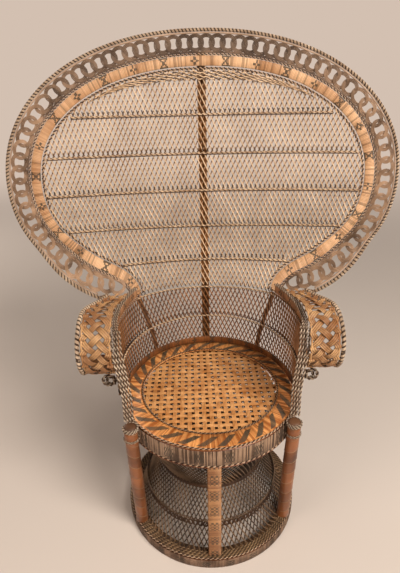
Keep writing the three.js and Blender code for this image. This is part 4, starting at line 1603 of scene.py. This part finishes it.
head_heights = np.array([0.4284, 0.4340, 0.4390, 0.4420, 0.4434, 0.4436])
head_radii = np.array([0.0176, 0.0178, 0.0166, 0.0138, 0.0080, 0.0002])


def leg_head():
    """The rounded end of a leg, above the seat."""
    angle = np.linspace(0, math.tau, 25)
    middle = polar(head_degrees, head_away, 0.0)
    rows = np.stack(
        [
            middle[0] + head_radii[:, None] * np.cos(angle),
            middle[1] + head_radii[:, None] * np.sin(angle),
            head_heights[:, None] + 0 * angle,
        ],
        axis=-1,
    )
    mesh = skin(rows)
    mesh.flip_normals()
    mesh.materials.append(finishes["leg head"])
    return mesh


head_tie = tie(polar(head_degrees, head_away, 0.4345), radius=0.0192, turns=3, rope=0.0022)
pair("leg_collar", joined(leg_head(), head_tie), "leg_collar")

# %% [markdown]
# ## The slat in front
# A flat slat runs down the middle of the front, wound like the bands. Its path is a straight line from its
# foot to its top, and only the place function knows where the slat stands.

# %% Slat in the middle of the front

slat_foot = 0.0350
slat_length = 0.3340
slat_away = 0.2480


def onto_slat(points):
    s, across, n = points.T
    return np.column_stack([across, seat_y - slat_away - n, slat_foot + s])


slat_path = np.column_stack([np.linspace(0, slat_length, 40), np.zeros(40), np.zeros(40)])
piece(
    "front_slat",
    wound(slat_path, onto_slat, across=0.0358, depth=0.0086, pitch=0.0035, look="slat", seed=16),
    "front_slat",
)

# %% [markdown]
# ## Posts
# The rear posts and the spine run from the floor ring past the seat and up the back. A post is a smooth
# curve through a few points, some of them given on the bent back.

# %% Rear posts and spine


def smooth_path(points, rows=60):
    """A smooth curve through points, as the usual cubic whose slopes come from the neighbours."""
    points = np.array([np.asarray(p, float) for p in points])
    place = np.concatenate([[0], np.cumsum(np.linalg.norm(np.diff(points, axis=0), axis=1))])
    slopes = np.gradient(points, place, axis=0)
    out = []
    for at in np.linspace(0, place[-1], rows):
        k = min(int(np.searchsorted(place, at, side="right")) - 1, len(place) - 2)
        h = place[k + 1] - place[k]
        t = (at - place[k]) / h
        out.append(
            (2 * t**3 - 3 * t**2 + 1) * points[k]
            + (t**3 - 2 * t**2 + t) * h * slopes[k]
            + (3 * t**2 - 2 * t**3) * points[k + 1]
            + (t**3 - t**2) * h * slopes[k + 1]
        )
    return np.array(out)


post_degrees = -50
under_seat = 0.3703
over_seat = 0.434
pole_foot = 0.0349
post_top = onto_wall(np.array([[0.2190, 0.6290, -0.0121]]))[0]
post = [
    polar(post_degrees, 0.254, pole_foot),
    polar(post_degrees, 0.262, under_seat),
    polar(post_degrees, 0.262, over_seat),
    post_top,
]
pair(
    "rear_post",
    canes([smooth_path(post)], as_is, width=0.0140, look="post pole", step=0.01, sides=10),
    "rear_post",
)

spine_top = onto_fan(np.array([[0.0, 1.3180, -0.0183]]))[0]
spine = [
    (0, seat_y + 0.250, pole_foot),
    (0, seat_y + 0.2663, under_seat),
    (0, seat_y + 0.2663, over_seat),
    spine_top,
]
spine_line = smooth_path(spine, rows=90)
# The spine is three poles in a bundle. These are their distances from its middle line.
bundle = [(-0.0062, -0.0030, 0), (0.0062, -0.0030, 0), (0, 0.0058, 0)]
spine_poles = [spine_line + offset for offset in bundle]
piece(
    "back_spine",
    canes(spine_poles, as_is, width=0.0128, look="spine pole", step=0.01, sides=8),
    "back_spine",
)

# %% [markdown]
# ## Lattice
# The lattices of the wall and of the fan are the same cane work: straight canes on the flat sheet in two
# layers that lean to opposite sides. A region is given by how far it reaches to the side at each height,
# and a cane is kept where it lies inside.

# %% Lattice canes on a flat region

lattice_pitch = 0.0126
lattice_cane = 0.0036
layer_off = 0.0015
least_points = 5
column = lattice_pitch / math.cos(math.atan(cane_lean))


def lattice_lines(side, low, high, is_inside, spread):
    """The canes of one layer. Those that lean to the left, side -1, lie in front."""
    z = np.arange(low, high, 0.002)
    paths = []
    count = int((spread + (high - low) * cane_lean) / column) + 1
    for number in range(-count, count + 1):
        s = (number + 0.5) * column + side * cane_lean * (z - low)
        inside = is_inside(s, z)
        edges = np.flatnonzero(np.diff(np.concatenate([[0], inside.astype(int), [0]])))
        for first, last in zip(edges[::2], edges[1::2]):
            if last - first < least_points:
                continue
            kept = slice(first, last)
            layer = np.full(last - first, -side * layer_off)
            paths.append(np.column_stack([s[kept], z[kept], layer]))
    return paths


def lattice(region, place, front_look, back_look):
    """Both layers. The canes store how far they are on their way from one crossing to the next."""
    layers = []
    for side, look in ((-1, front_look), (1, back_look)):
        mesh = canes(lattice_lines(side, *region), as_is, width=lattice_cane, look=look)
        flat = points_of(mesh)
        # The number also places the painted shadow spots on the layer behind.
        store(mesh, "crossing", (flat[:, 0] + cane_lean * (flat[:, 1] - region[0])) / column)
        layers.append(move_points(mesh, place))
    return joined(*layers)


# %% Lattice of the wall

wall_low = 0.4340
rail_height = 0.634
wing_rise = 0.012


def wing_lift(s):
    return wing_rise * ease((np.abs(s) - corner_start) / (wall_reach - corner_start))


def inside_wall(s, z):
    return (np.abs(s) < wall_reach - 0.0005) & (z < rail_height + wing_lift(s))


wall_region = (wall_low, rail_height + 0.014, inside_wall, wall_reach)
piece("wall_lattice", lattice(wall_region, onto_wall, "wall cane", "wall shade"), "wall_net")

# %% [markdown]
# ## Rows across the wall
# A twined row is a rope that holds the lattice's canes in place. It is laid in front of them, and a line of
# short dark stitches above it stands for the strand that goes round each pair of canes. The rail on top is
# a bare pole on the wings and a rope at the back.

# %% Frieze, row and rail of the wall


def wall_path(reach, height, n=0.0, lift=0.0, start=None):
    """A line along the wall. lift says how much of the wings' rise it takes part in."""
    first = -reach if start is None else start
    s = np.linspace(first, reach, 121)
    return np.column_stack([s, height + lift * wing_lift(s), np.full_like(s, n)])


def both_wings(height, n, start):
    right = wall_path(wall_reach, height, n=n, lift=1.0, start=start)
    return [right, right * (-1, 1, 1)]


frieze = wound(
    wall_path(0.445, 0.4447, n=0.0057),
    onto_wall,
    across=0.0208,
    depth=0.0038,
    pitch=0.0034,
    look="frieze",
    seed=17,
)
piece("seat_frieze", frieze, "seat_frieze")

wall_rope = wall_path(wall_reach, 0.532, n=0.0052, lift=0.5)
wall_stitches = wall_path(wall_reach, 0.5400, lift=0.5)
piece(
    "wall_row",
    joined(
        twist([wall_rope], onto_wall, strand=0.0024, turn=0.0140, look="row rope", strands=3),
        ticks(wall_stitches, onto_wall, column, "dark binding and painted shade"),
    ),
    "wall_row",
)

wing_start = neck_half_width + 0.032
rail_poles = both_wings(rail_height - 0.0006, n=0.0, start=wing_start - 0.020)
rail_edgings = both_wings(rail_height + 0.0026, n=0.0046, start=wing_start - 0.010)
rail_rope = wall_path(wing_start, rail_height - 0.001, n=0.0052)
rail_stitches = wall_path(wing_start, rail_height + 0.0078)
piece(
    "wing_rail",
    joined(
        canes(rail_poles, onto_wall, width=0.0068, look="honey pole"),
        twist(rail_edgings, onto_wall, strand=0.0024, turn=0.011, look="edging"),
        twist([rail_rope], onto_wall, strand=0.0026, turn=0.0140, look="row rope", strands=3),
        ticks(rail_stitches, onto_wall, column, "dark binding and painted shade"),
    ),
    "wing_rail",
)

# %% [markdown]
# ## The edges of a wing
# A wing ends in a wound band on top, with three ropes behind each other on its upper edge, and in four
# ropes side by side down its front edge. They are all lines on the flat sheet, so they follow the wing's
# curve by themselves.

# %% Band, edging and front strip of a wing

band_line = wall_path(wall_reach, rail_height + 0.0176, lift=1.0, start=wing_start)
wing_band = wound(
    band_line, onto_wall, across=0.0256, depth=0.0060, pitch=0.0038, look="wing band", seed=18
)
pair("wing_band", wing_band, "wing_band")

wing_top = rail_height + 0.0350
edge_lines = [
    wall_path(wall_reach, wing_top, n=-0.0050 + number * 0.0056, lift=1.0, start=wing_start)
    for number in range(3)
]
wing_edging = twist(edge_lines, onto_wall, strand=0.0030, turn=0.0150, look="strip rope")
pair("wing_edging", wing_edging, "wing_twist")

strip_height = np.linspace(0.4446, 0.6848, 60)
strip_reach = np.full(60, wall_reach + 0.0052)
strip_lines = [
    np.column_stack([strip_reach, strip_height, np.full(60, -0.0108 + number * 0.0072)])
    for number in range(4)
]
wing_strip = twist(strip_lines, onto_wall, strand=0.0038, turn=0.0150, look="strip rope")
pair("wing_strip", wing_strip, "wing_strip")

# %% [markdown]
# ## The fan
# Everything round the fan follows one line, the inner hoop: an oval, a little fuller than an ellipse, whose
# lower ends turn down into the neck. Each part of the border is that line moved out by its own distance.

# %% The line of the inner hoop


def oval(angle):
    def full(value):
        return np.sign(value) * np.abs(value) ** oval_power

    return np.column_stack(
        [
            fan_half_width * full(np.cos(angle)),
            fan_centre + fan_half_height * full(np.sin(angle)),
        ]
    )


def right_side():
    """The right half of the inner hoop, from its foot to its top."""
    start_angle = -math.acos((neck_start / fan_half_width) ** (1 / oval_power))
    start, nudged = oval(np.array([start_angle, start_angle + 0.01]))
    run, rise = nudged - start
    corner = np.array([neck_half_width, start[1] - (start[0] - neck_half_width) * rise / run])
    foot = np.array([neck_half_width, neck_height])
    t = np.linspace(1, 0, 30)[:-1, None]
    neck = (1 - t) ** 2 * start + 2 * t * (1 - t) * corner + t**2 * foot
    return np.vstack([neck, oval(np.linspace(start_angle, math.pi / 2, 160))])


right_hoop = right_side()


def evenly(path, rows):
    length = np.concatenate([[0], np.cumsum(np.linalg.norm(np.diff(path, axis=0), axis=1))])
    at = np.linspace(0, length[-1], rows + 1)
    return np.column_stack([np.interp(at, length, path[:, k]) for k in range(path.shape[1])])


whole_hoop = evenly(np.vstack([right_hoop[:-1] * (-1, 1), right_hoop[::-1]]), 540)
travel = np.gradient(whole_hoop, axis=0)
travel /= np.linalg.norm(travel, axis=1)[:, None]
outward = np.column_stack([-travel[:, 1], travel[:, 0]])
hoop_share = np.linspace(0, 1, len(whole_hoop))
hoop_length = path_length(whole_hoop)
print("inner hoop", round(hoop_length, 3), "m long")


def hoop_line(offset, n=0.0, first=0.0, last=1.0):
    """The hoop's line moved outwards. offset and n may change along it."""
    moved = whole_hoop + outward * (offset + 0 * hoop_share)[:, None]
    line = np.column_stack([moved, n + 0 * hoop_share])
    return line[(hoop_share >= first - 1e-9) & (hoop_share <= last + 1e-9)]


def hoop_reach(z):
    """Half the width inside the hoop at a height."""
    return np.interp(z, right_hoop[:, 1], right_hoop[:, 0])


# %% Fan lattice

fan_top = fan_centre + fan_half_height
net_inset = 0.001


def inside_fan(s, z):
    return (np.abs(s) < hoop_reach(z) - net_inset) & (z < fan_top - net_inset)


fan_region = (neck_height, fan_top, inside_fan, fan_half_width)
piece("fan_lattice", lattice(fan_region, onto_fan, "lattice cane", "lattice shade"), "fan_net")

# %% [markdown]
# ## Rows across the fan
# Five twined rows cross the fan. Each one is a pale rope with one dark strand, a thin dark cane below it as
# its painted shadow, and dark stitches above it. They are straight on the flat sheet and end where the hoop
# is.

# %% The five rows

first_row = 0.726
row_spacing = 0.108
rope_off = 0.0052
stitches_up = 0.0088
for number in range(5):
    z = first_row + number * row_spacing
    reach = float(min(hoop_reach(z - 0.004), hoop_reach(z + 0.010))) - 0.004
    s = np.linspace(-reach, reach, 2 * int(reach / 0.0020) + 1)
    line = np.column_stack([s, np.full_like(s, z), 0 * s])
    rope = line + (0, 0, rope_off)
    # A thin dark cane just below the rope: its painted shadow.
    painted_shadow_line = line + (0, -0.0040, 0.0046)
    made = joined(
        twist([rope], onto_fan, strand=0.0029, turn=0.0150, look="row rope", strands=3),
        ticks(line + (0, stitches_up, 0), onto_fan, column, "dark binding and painted shade"),
        canes([painted_shadow_line], onto_fan, width=0.0020, look="dark binding and painted shade"),
    )
    piece(f"fan_row_{number + 1}", made, f"fan_row_{number + 1}")

# %% [markdown]
# ## The border of the fan
# From inside out the border has a twisted hoop, the wound band with its stained figures, a second twisted
# hoop with a dark cane, the chain of rings, a bare pale hoop and the rope of the rim. The rings at the top
# lie closer together than those at the sides, so the chain is laid in three parts. Two wavy canes tie the
# rings' feet to the inner side.

# %% Inner hoop, band and middle hoop

piece(
    "fan_inner_hoop",
    twist([hoop_line(0.0)], onto_fan, strand=0.0042, turn=0.0124, look="edging"),
    "fan_inner_hoop",
)
fan_band = wound(
    hoop_line(0.0191),
    onto_fan,
    across=0.0268,
    depth=0.0060,
    pitch=0.0040,
    look="fan band",
    seed=19,
)
piece("fan_band", fan_band, "fan_band")
piece(
    "fan_middle_hoop",
    joined(
        twist([hoop_line(0.0356)], onto_fan, strand=0.0032, turn=0.0112, look="edging"),
        canes([hoop_line(0.0406)], onto_fan, width=0.0044, look="loop cane with painted top shade", sides=6),
    ),
    "fan_middle_hoop",
)

# %% Rings and their feet


def above_neck(offset):
    return hoop_line(offset, 0.0, neck_share, 1 - neck_share)


into_neck = ease((neck_share - np.minimum(hoop_share, 1 - hoop_share)) / 0.024)
ring_offset = 0.0643 - 0.012 * into_neck
top_pitch = 0.0306
side_pitch = 0.0358
first_ring = 0.043
shoulder = 0.300
top_start = shoulder + top_pitch / hoop_length
ring_parts = [
    (first_ring, shoulder, side_pitch, 3),
    (top_start, 1 - top_start, top_pitch, 4),
    (1 - shoulder, 1 - first_ring, side_pitch, 5),
]
chain = []
for start, end, spacing, seed in ring_parts:
    line = hoop_line(ring_offset, 0.0, start, end)
    rings = grow(
        loop_work,
        [line],
        loops=round(path_length(line) / spacing) + 1,
        half_length=0.0243 * spacing / 0.0325,
        half_width=0.0212,
        rise=0.0022,
        cane=0.0033,
        seed=seed,
        material=finishes["loop cane with painted top shade"],
    )
    chain.append(move_points(rings, onto_fan))
arc = hoop_share * hoop_length
feet = [
    above_neck(0.0462 + 0.0034 * np.sin(math.tau * arc / 0.0330 + phase)) for phase in (0, math.pi)
]
piece(
    "fan_loop_border",
    joined(*chain, canes(feet, onto_fan, width=0.0028, look="loop cane with painted top shade", step=0.005)),
    "fan_loop_border",
)
piece(
    "fan_pale_hoop",
    canes([above_neck(0.0886)], onto_fan, width=0.0044, look="hoop cane", sides=8),
    "fan_pale_hoop",
)

# %% [markdown]
# ## From the rim into the arms
# The rope of the rim doesn't end at the neck. It bends forward there and becomes the outer edge of the arm,
# so the surface of an arm has to be known first. An arm is made flat as well: b runs along it, a across it.
# The flat piece is then laid along the wing and rolled down at the front.

# %% The surface of an arm

arm_back = 0.132
arm_turn = -0.052
arm_low = 0.672
arm_high = 0.702
roll_radius = 0.079
roll_turn = math.radians(205)
level_length = arm_back - arm_turn
arm_length = level_length + roll_radius * roll_turn
wing_samples = np.linspace(corner_start, wall_reach, 200)
wing_line = onto_wall(np.column_stack([wing_samples, 0 * wing_samples + 0.646, 0 * wing_samples]))


def arm_edges(b):
    level = np.clip(b / level_length, 0, 1)
    y = arm_back + (arm_turn - arm_back) * level
    inner = np.interp(-y, -(wing_line[:, 1] - seat_y), wing_line[:, 0]) + 0.0010
    inner = inner + 0.0003 * np.clip((b - level_length) / (arm_length - level_length), 0, 1)
    return inner, inner + 0.054 + 0.020 * ease(level)


def onto_arm(points):
    """Lays flat points along the arm: b along it, a from 0 at the wing to 1 at the rim, n off it."""
    b, a, n = points.T
    level = np.clip(b / level_length, 0, 1)
    y = arm_back + (arm_turn - arm_back) * level
    z = arm_low + (arm_high - arm_low) * ease(level)
    turned = np.clip(b - level_length, 0, None) / roll_radius
    inner, outer = arm_edges(b)
    away = roll_radius + n
    return np.column_stack(
        [
            inner + a * (outer - inner),
            seat_y + y - away * np.sin(turned),
            z - roll_radius + away * np.cos(turned),
        ]
    )


# %% Rim of the fan

rim_line = above_neck(0.0960)
rim_end = onto_fan(rim_line[[0, 2]])
b = np.linspace(0.0, arm_length, 160)
inner, outer = arm_edges(b)
arm_rim_line = onto_arm(np.column_stack([b, 1 + 0.0082 / (outer - inner), 0 * b]))


def link(start, start_way, end, end_way):
    """A smooth bend between two lines, given by a point and a direction at each end."""
    pull = np.linalg.norm(end - start)
    start_way = start_way / np.linalg.norm(start_way) * pull
    end_way = end_way / np.linalg.norm(end_way) * pull
    t = np.linspace(0, 1, 24)[:, None]
    return (
        (2 * t**3 - 3 * t**2 + 1) * start
        + (t**3 - 2 * t**2 + t) * start_way
        + (3 * t**2 - 2 * t**3) * end
        + (t**3 - t**2) * end_way
    )


arm_start = arm_rim_line[:2] * (-1, 1, 1)
rim_way = rim_end[0] - rim_end[1]
left_link = link(rim_end[0], rim_way, arm_start[0], arm_start[1] - arm_start[0])
rim_rope = {"strand": 0.0038, "turn": 0.0100, "look": "rim rope", "strands": 5}
piece(
    "fan_rim",
    joined(
        twist([rim_line], onto_fan, **rim_rope),
        twist([left_link, left_link * (-1, 1, 1)], as_is, **rim_rope),
    ),
    "fan_rim",
)

# %% [markdown]
# ## The braided crown
# Under the top of the hoop lies a crescent of wavy canes that cross each other, thickest in the middle.
# Each row has two canes whose waves run against each other, one of them always a little in front where they
# cross.

# %% Crown

crown_reach = 0.330
crown_wave = 0.036
crown_shift = 2.1
taper = np.cos(np.clip(whole_hoop[:, 0] / crown_reach, -1, 1) * math.pi / 2)
near_top = (whole_hoop[:, 1] > fan_centre) & (np.abs(whole_hoop[:, 0]) < crown_reach)
crown_span = hoop_share[np.flatnonzero(near_top)[[0, -1]]]
crown_lines = []
for row in range(4):
    angle = math.tau * arc / crown_wave + row * crown_shift
    for side in (-1, 1):
        wave = side * np.sin(angle)
        offset = -(0.0090 + row * 0.0052 * taper + 0.0036 * taper * wave)
        lift = 0.0062 + 0.0011 * side * np.cos(angle)
        crown_lines.append(hoop_line(offset, lift, *crown_span))
piece(
    "fan_crown_braid",
    joined(
        canes(crown_lines[::2], onto_fan, width=0.0032, look="lattice cane", step=0.004),
        canes(crown_lines[1::2], onto_fan, width=0.0032, look="loop cane with painted top shade", step=0.004),
    ),
    "fan_crown_braid",
)

# %% [markdown]
# ## The arms
# An arm is a plait of four straps, each of three flat-round canes, that run from edge to edge in zigzags.
# Thin dark lines between the canes and along each strap's edges are painted shade. The plait is woven flat
# and then laid on the arm's surface, so it rolls down at the front with it.

# %% Straps of the plait

plait_pitch = 0.037
mean_width = 0.066
straps = 4
plait_lift = 0.0036
plait_end = 0.001


def plait_lines(places, height):
    """Straps that zigzag from edge to edge, over one strap and under the next, as lines side by side."""
    paths = []
    b = np.linspace(plait_end, arm_length - plait_end, 260)
    for strap in range(straps):
        phase = math.tau * (b / (straps * plait_pitch) + strap / straps)
        swing = np.arcsin(0.95 * np.sin(phase)) / np.arcsin(0.95)
        middle = np.column_stack([b, 0.5 * swing * (mean_width - 0.009)])
        along = np.gradient(middle, axis=0)
        along /= np.linalg.norm(along, axis=1)[:, None]
        lift = plait_lift * np.sign(np.cos(phase)) * np.cos(math.tau * b / plait_pitch)
        for place in places:
            line = middle + np.column_stack([-along[:, 1], along[:, 0]]) * place
            paths.append(np.column_stack([line, lift + height]))
    return paths


def plait_edges():
    b = np.linspace(plait_end, arm_length - plait_end, 120)
    away = mean_width / 2 - 0.0020
    return [np.column_stack([b, 0 * b + edge * away, 0 * b]) for edge in (-1, 1)]


def onto_arm_flat(points):
    return onto_arm(points * (1, 1 / mean_width, 1) + (0, 0.5, 0))


# %% Weave both arms

strap_canes = canes(
    plait_lines((-0.0047, 0, 0.0047), 0.0) + plait_edges(),
    onto_arm_flat,
    width=0.0045,
    look="arm plait",
    thickness=0.0028,
    step=0.003,
    sides=8,
)
# Thin dark canes between the canes of each strap and at its edges: painted shade.
plait_painted_shade = canes(
    plait_lines((-0.0071, -0.00235, 0.00235, 0.0071), 0.0003),
    onto_arm_flat,
    width=0.0012,
    look="dark binding and painted shade",
    step=0.004,
)
pair("arm_plait", joined(strap_canes, plait_painted_shade), "arm_plait")

# %% [markdown]
# ## What holds an arm
# A rope lies round the arm's outer edge and a bar in the end of its roll. A brace leans under the arm along
# the wing, and two rings of rope hang at the roll as a scroll. The boxes of the fixed frame say where brace
# and scroll are, so only their thickness is written here.

# %% Rim, bar, brace and scroll of an arm

arm_rim = twist([arm_rim_line], as_is, strand=0.0046, turn=0.0125, look="rim rope", strands=5)
pair("arm_rim", arm_rim, "arm_rim")

roll_end = onto_arm(np.array([[arm_length, 0.0, 0.0], [arm_length, 1.0, 0.0]]))
beyond = np.array([0, -math.cos(roll_turn), -math.sin(roll_turn)]) * 0.0053
roll_bar = canes([roll_end + beyond], as_is, width=0.0098, look="rattan pole", sides=8)
pair("arm_roll_bar", roll_bar, "arm_roll_bar")

brace_low, brace_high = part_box("arm_brace_right")
brace_heights = np.linspace(brace_low.z, brace_high.z, 30)
brace_side = 14 / 17 * wall_reach
brace_flat = np.column_stack([np.full(30, brace_side), brace_heights, np.full(30, -0.0081)])
brace = twist([onto_wall(brace_flat)], as_is, strand=0.0048, turn=0.030, look="brown edging")
pair("arm_brace", brace, "arm_brace")

scroll_low, scroll_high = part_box("arm_scroll_right")
scroll_middle = np.array((scroll_low + scroll_high) / 2)
scroll_radius = (scroll_high.x - scroll_low.x) / 2 - 0.0050
around = np.linspace(0, math.tau, 61)
large_ring = np.column_stack([np.cos(around), 0 * around, np.sin(around)]) * scroll_radius
small_ring = 0.8 * large_ring + (-0.006, 0.008, -0.006)
scroll_lines = [large_ring + scroll_middle, small_ring + scroll_middle]
scroll = twist(scroll_lines, as_is, strand=0.0054, turn=0.018, look="strip rope")
pair("arm_scroll", scroll, "arm_scroll")
print("triangles in all:", face_count)

# %% [markdown]
# ## Floor and background
# The chair stands on a plain pale floor. Further out the floor's paint turns into the colour of the
# backdrop, and it glows there for the camera alone, so no horizon shows and no light is added to the chair.
# The world has the same colour for the camera, and a dim grey for every other ray.

# %% Floor

backdrop_colour = srgb("d3c0b1")
black = (0.0, 0.0, 0.0, 1.0)
fade_start = 1.1
fade_end = 6.5


def floor_paint():
    """A pale paint that turns into the backdrop's colour further out, so that no horizon shows."""
    material = bpy.data.materials.new("floor_paint")
    trees = cleared(material)
    place = trees.add("ShaderNodeTexCoord").outputs["Object"]
    x, y, _ = trees.add("ShaderNodeSeparateXYZ", {0: place}).outputs
    away = trees.math(
        "SQRT", trees.math("ADD", trees.math("MULTIPLY", x, x), trees.math("MULTIPLY", y, y))
    )
    fade = trees.add(
        "ShaderNodeMapRange",
        {0: away, 1: fade_start, 2: fade_end},
        interpolation_type="SMOOTHSTEP",
    ).outputs[0]
    seen = trees.add("ShaderNodeLightPath").outputs["Is Camera Ray"]
    glow = trees.math("MULTIPLY", fade, seen)
    shader = trees.add(
        "ShaderNodeBsdfPrincipled",
        {
            "Base Color": blend_colours(trees, fade, srgb("d9d0c9"), black),
            "Roughness": 0.9,
            "Specular IOR Level": 0.0,
            "Emission Color": blend_colours(trees, glow, black, backdrop_colour),
            "Emission Strength": 1.0,
        },
    )
    trees.add("ShaderNodeOutputMaterial", {"Surface": shader.outputs[0]})
    return material


floor_half = 40.0
floor_mesh = bpy.data.meshes.new("floor")
floor_corners = [(-1, -1, 0), (1, -1, 0), (1, 1, 0), (-1, 1, 0)]
floor_mesh.from_pydata((np.array(floor_corners) * floor_half).tolist(), [], [(0, 1, 2, 3)])
floor_mesh.materials.append(floor_paint())
floor = bpy.data.objects.new("floor", floor_mesh)
floor.location.z = -0.0005
bpy.context.scene.collection.objects.link(floor)
print("floor:", 2 * floor_half, "m wide")

# %% Background

world = bpy.data.worlds.new("room")
bpy.context.scene.world = world
room = cleared(world)
seen = room.add("ShaderNodeLightPath").outputs["Is Camera Ray"]
sky = blend_colours(room, seen, srgb("57524f"), backdrop_colour)
backdrop = room.add("ShaderNodeBackground", {"Color": sky, "Strength": 1.0})
room.add("ShaderNodeOutputWorld", {"Surface": backdrop.outputs[0]})

# %% [markdown]
# ## Three soft lights
# A large soft light like a window stands in front, to the right and high up. A weaker one from the left
# keeps the shadows open, and a low one behind the chair, to the left, lights the back of the fan.

# %% Lights


def area_light(name, place, target, size, power, colour):
    light = bpy.data.lights.new(name, "AREA")
    light.shape = "DISK"
    light.size = size
    light.energy = power
    light.color = srgb(colour)[:3]
    lamp = bpy.data.objects.new(name, light)
    lamp.location = place
    lamp.rotation_euler = (Vector(target) - Vector(place)).to_track_quat("-Z", "Y").to_euler()
    bpy.context.scene.collection.objects.link(lamp)
    print(name, "light:", power, "W")


front_target = (0, 0, 0.7)
area_light("window", (1.9, -2.4, 3.3), front_target, size=2.2, power=215, colour="fff3e6")
area_light("bounce", (-2.2, -1.8, 2.5), front_target, size=2.0, power=36, colour="ffe9d6")
area_light("back", (-3.0, 2.4, 1.5), (0, 0, 0.8), size=1.5, power=30, colour="fff3e6")

# %% [markdown]
# ## The camera
# The camera stands where the photographer stood: above the seat, close to the chair and looking down at it,
# a little turned and a little tilted. A wide lens from so near makes the fan look larger than the foot, as
# it does in the photograph.

# %% Camera

pan = math.radians(1.0)
pitch = math.radians(25.1)
roll = math.radians(-1.2)
forward = Vector(
    (math.sin(pan) * math.cos(pitch), math.cos(pan) * math.cos(pitch), -math.sin(pitch))
)
level_right = Vector((math.cos(pan), -math.sin(pan), 0))
level_down = forward.cross(level_right)
right = math.cos(roll) * level_right - math.sin(roll) * level_down
down = math.sin(roll) * level_right + math.cos(roll) * level_down

camera_data = bpy.data.cameras.new("photographer")
camera_data.lens = 28.27
camera_data.sensor_width = 36.0
camera_data.clip_start = 0.05
camera = bpy.data.objects.new("photographer", camera_data)
stand_point = Vector((-0.041, -1.078 + seat_y, 1.259))
turned = Matrix((right, -down, -forward)).transposed()
camera.matrix_world = Matrix.Translation(stand_point) @ turned.to_4x4()
bpy.context.scene.collection.objects.link(camera)
bpy.context.scene.camera = camera
bpy.context.scene.view_settings.view_transform = "Standard"
print("camera at", tuple(round(value, 3) for value in stand_point))
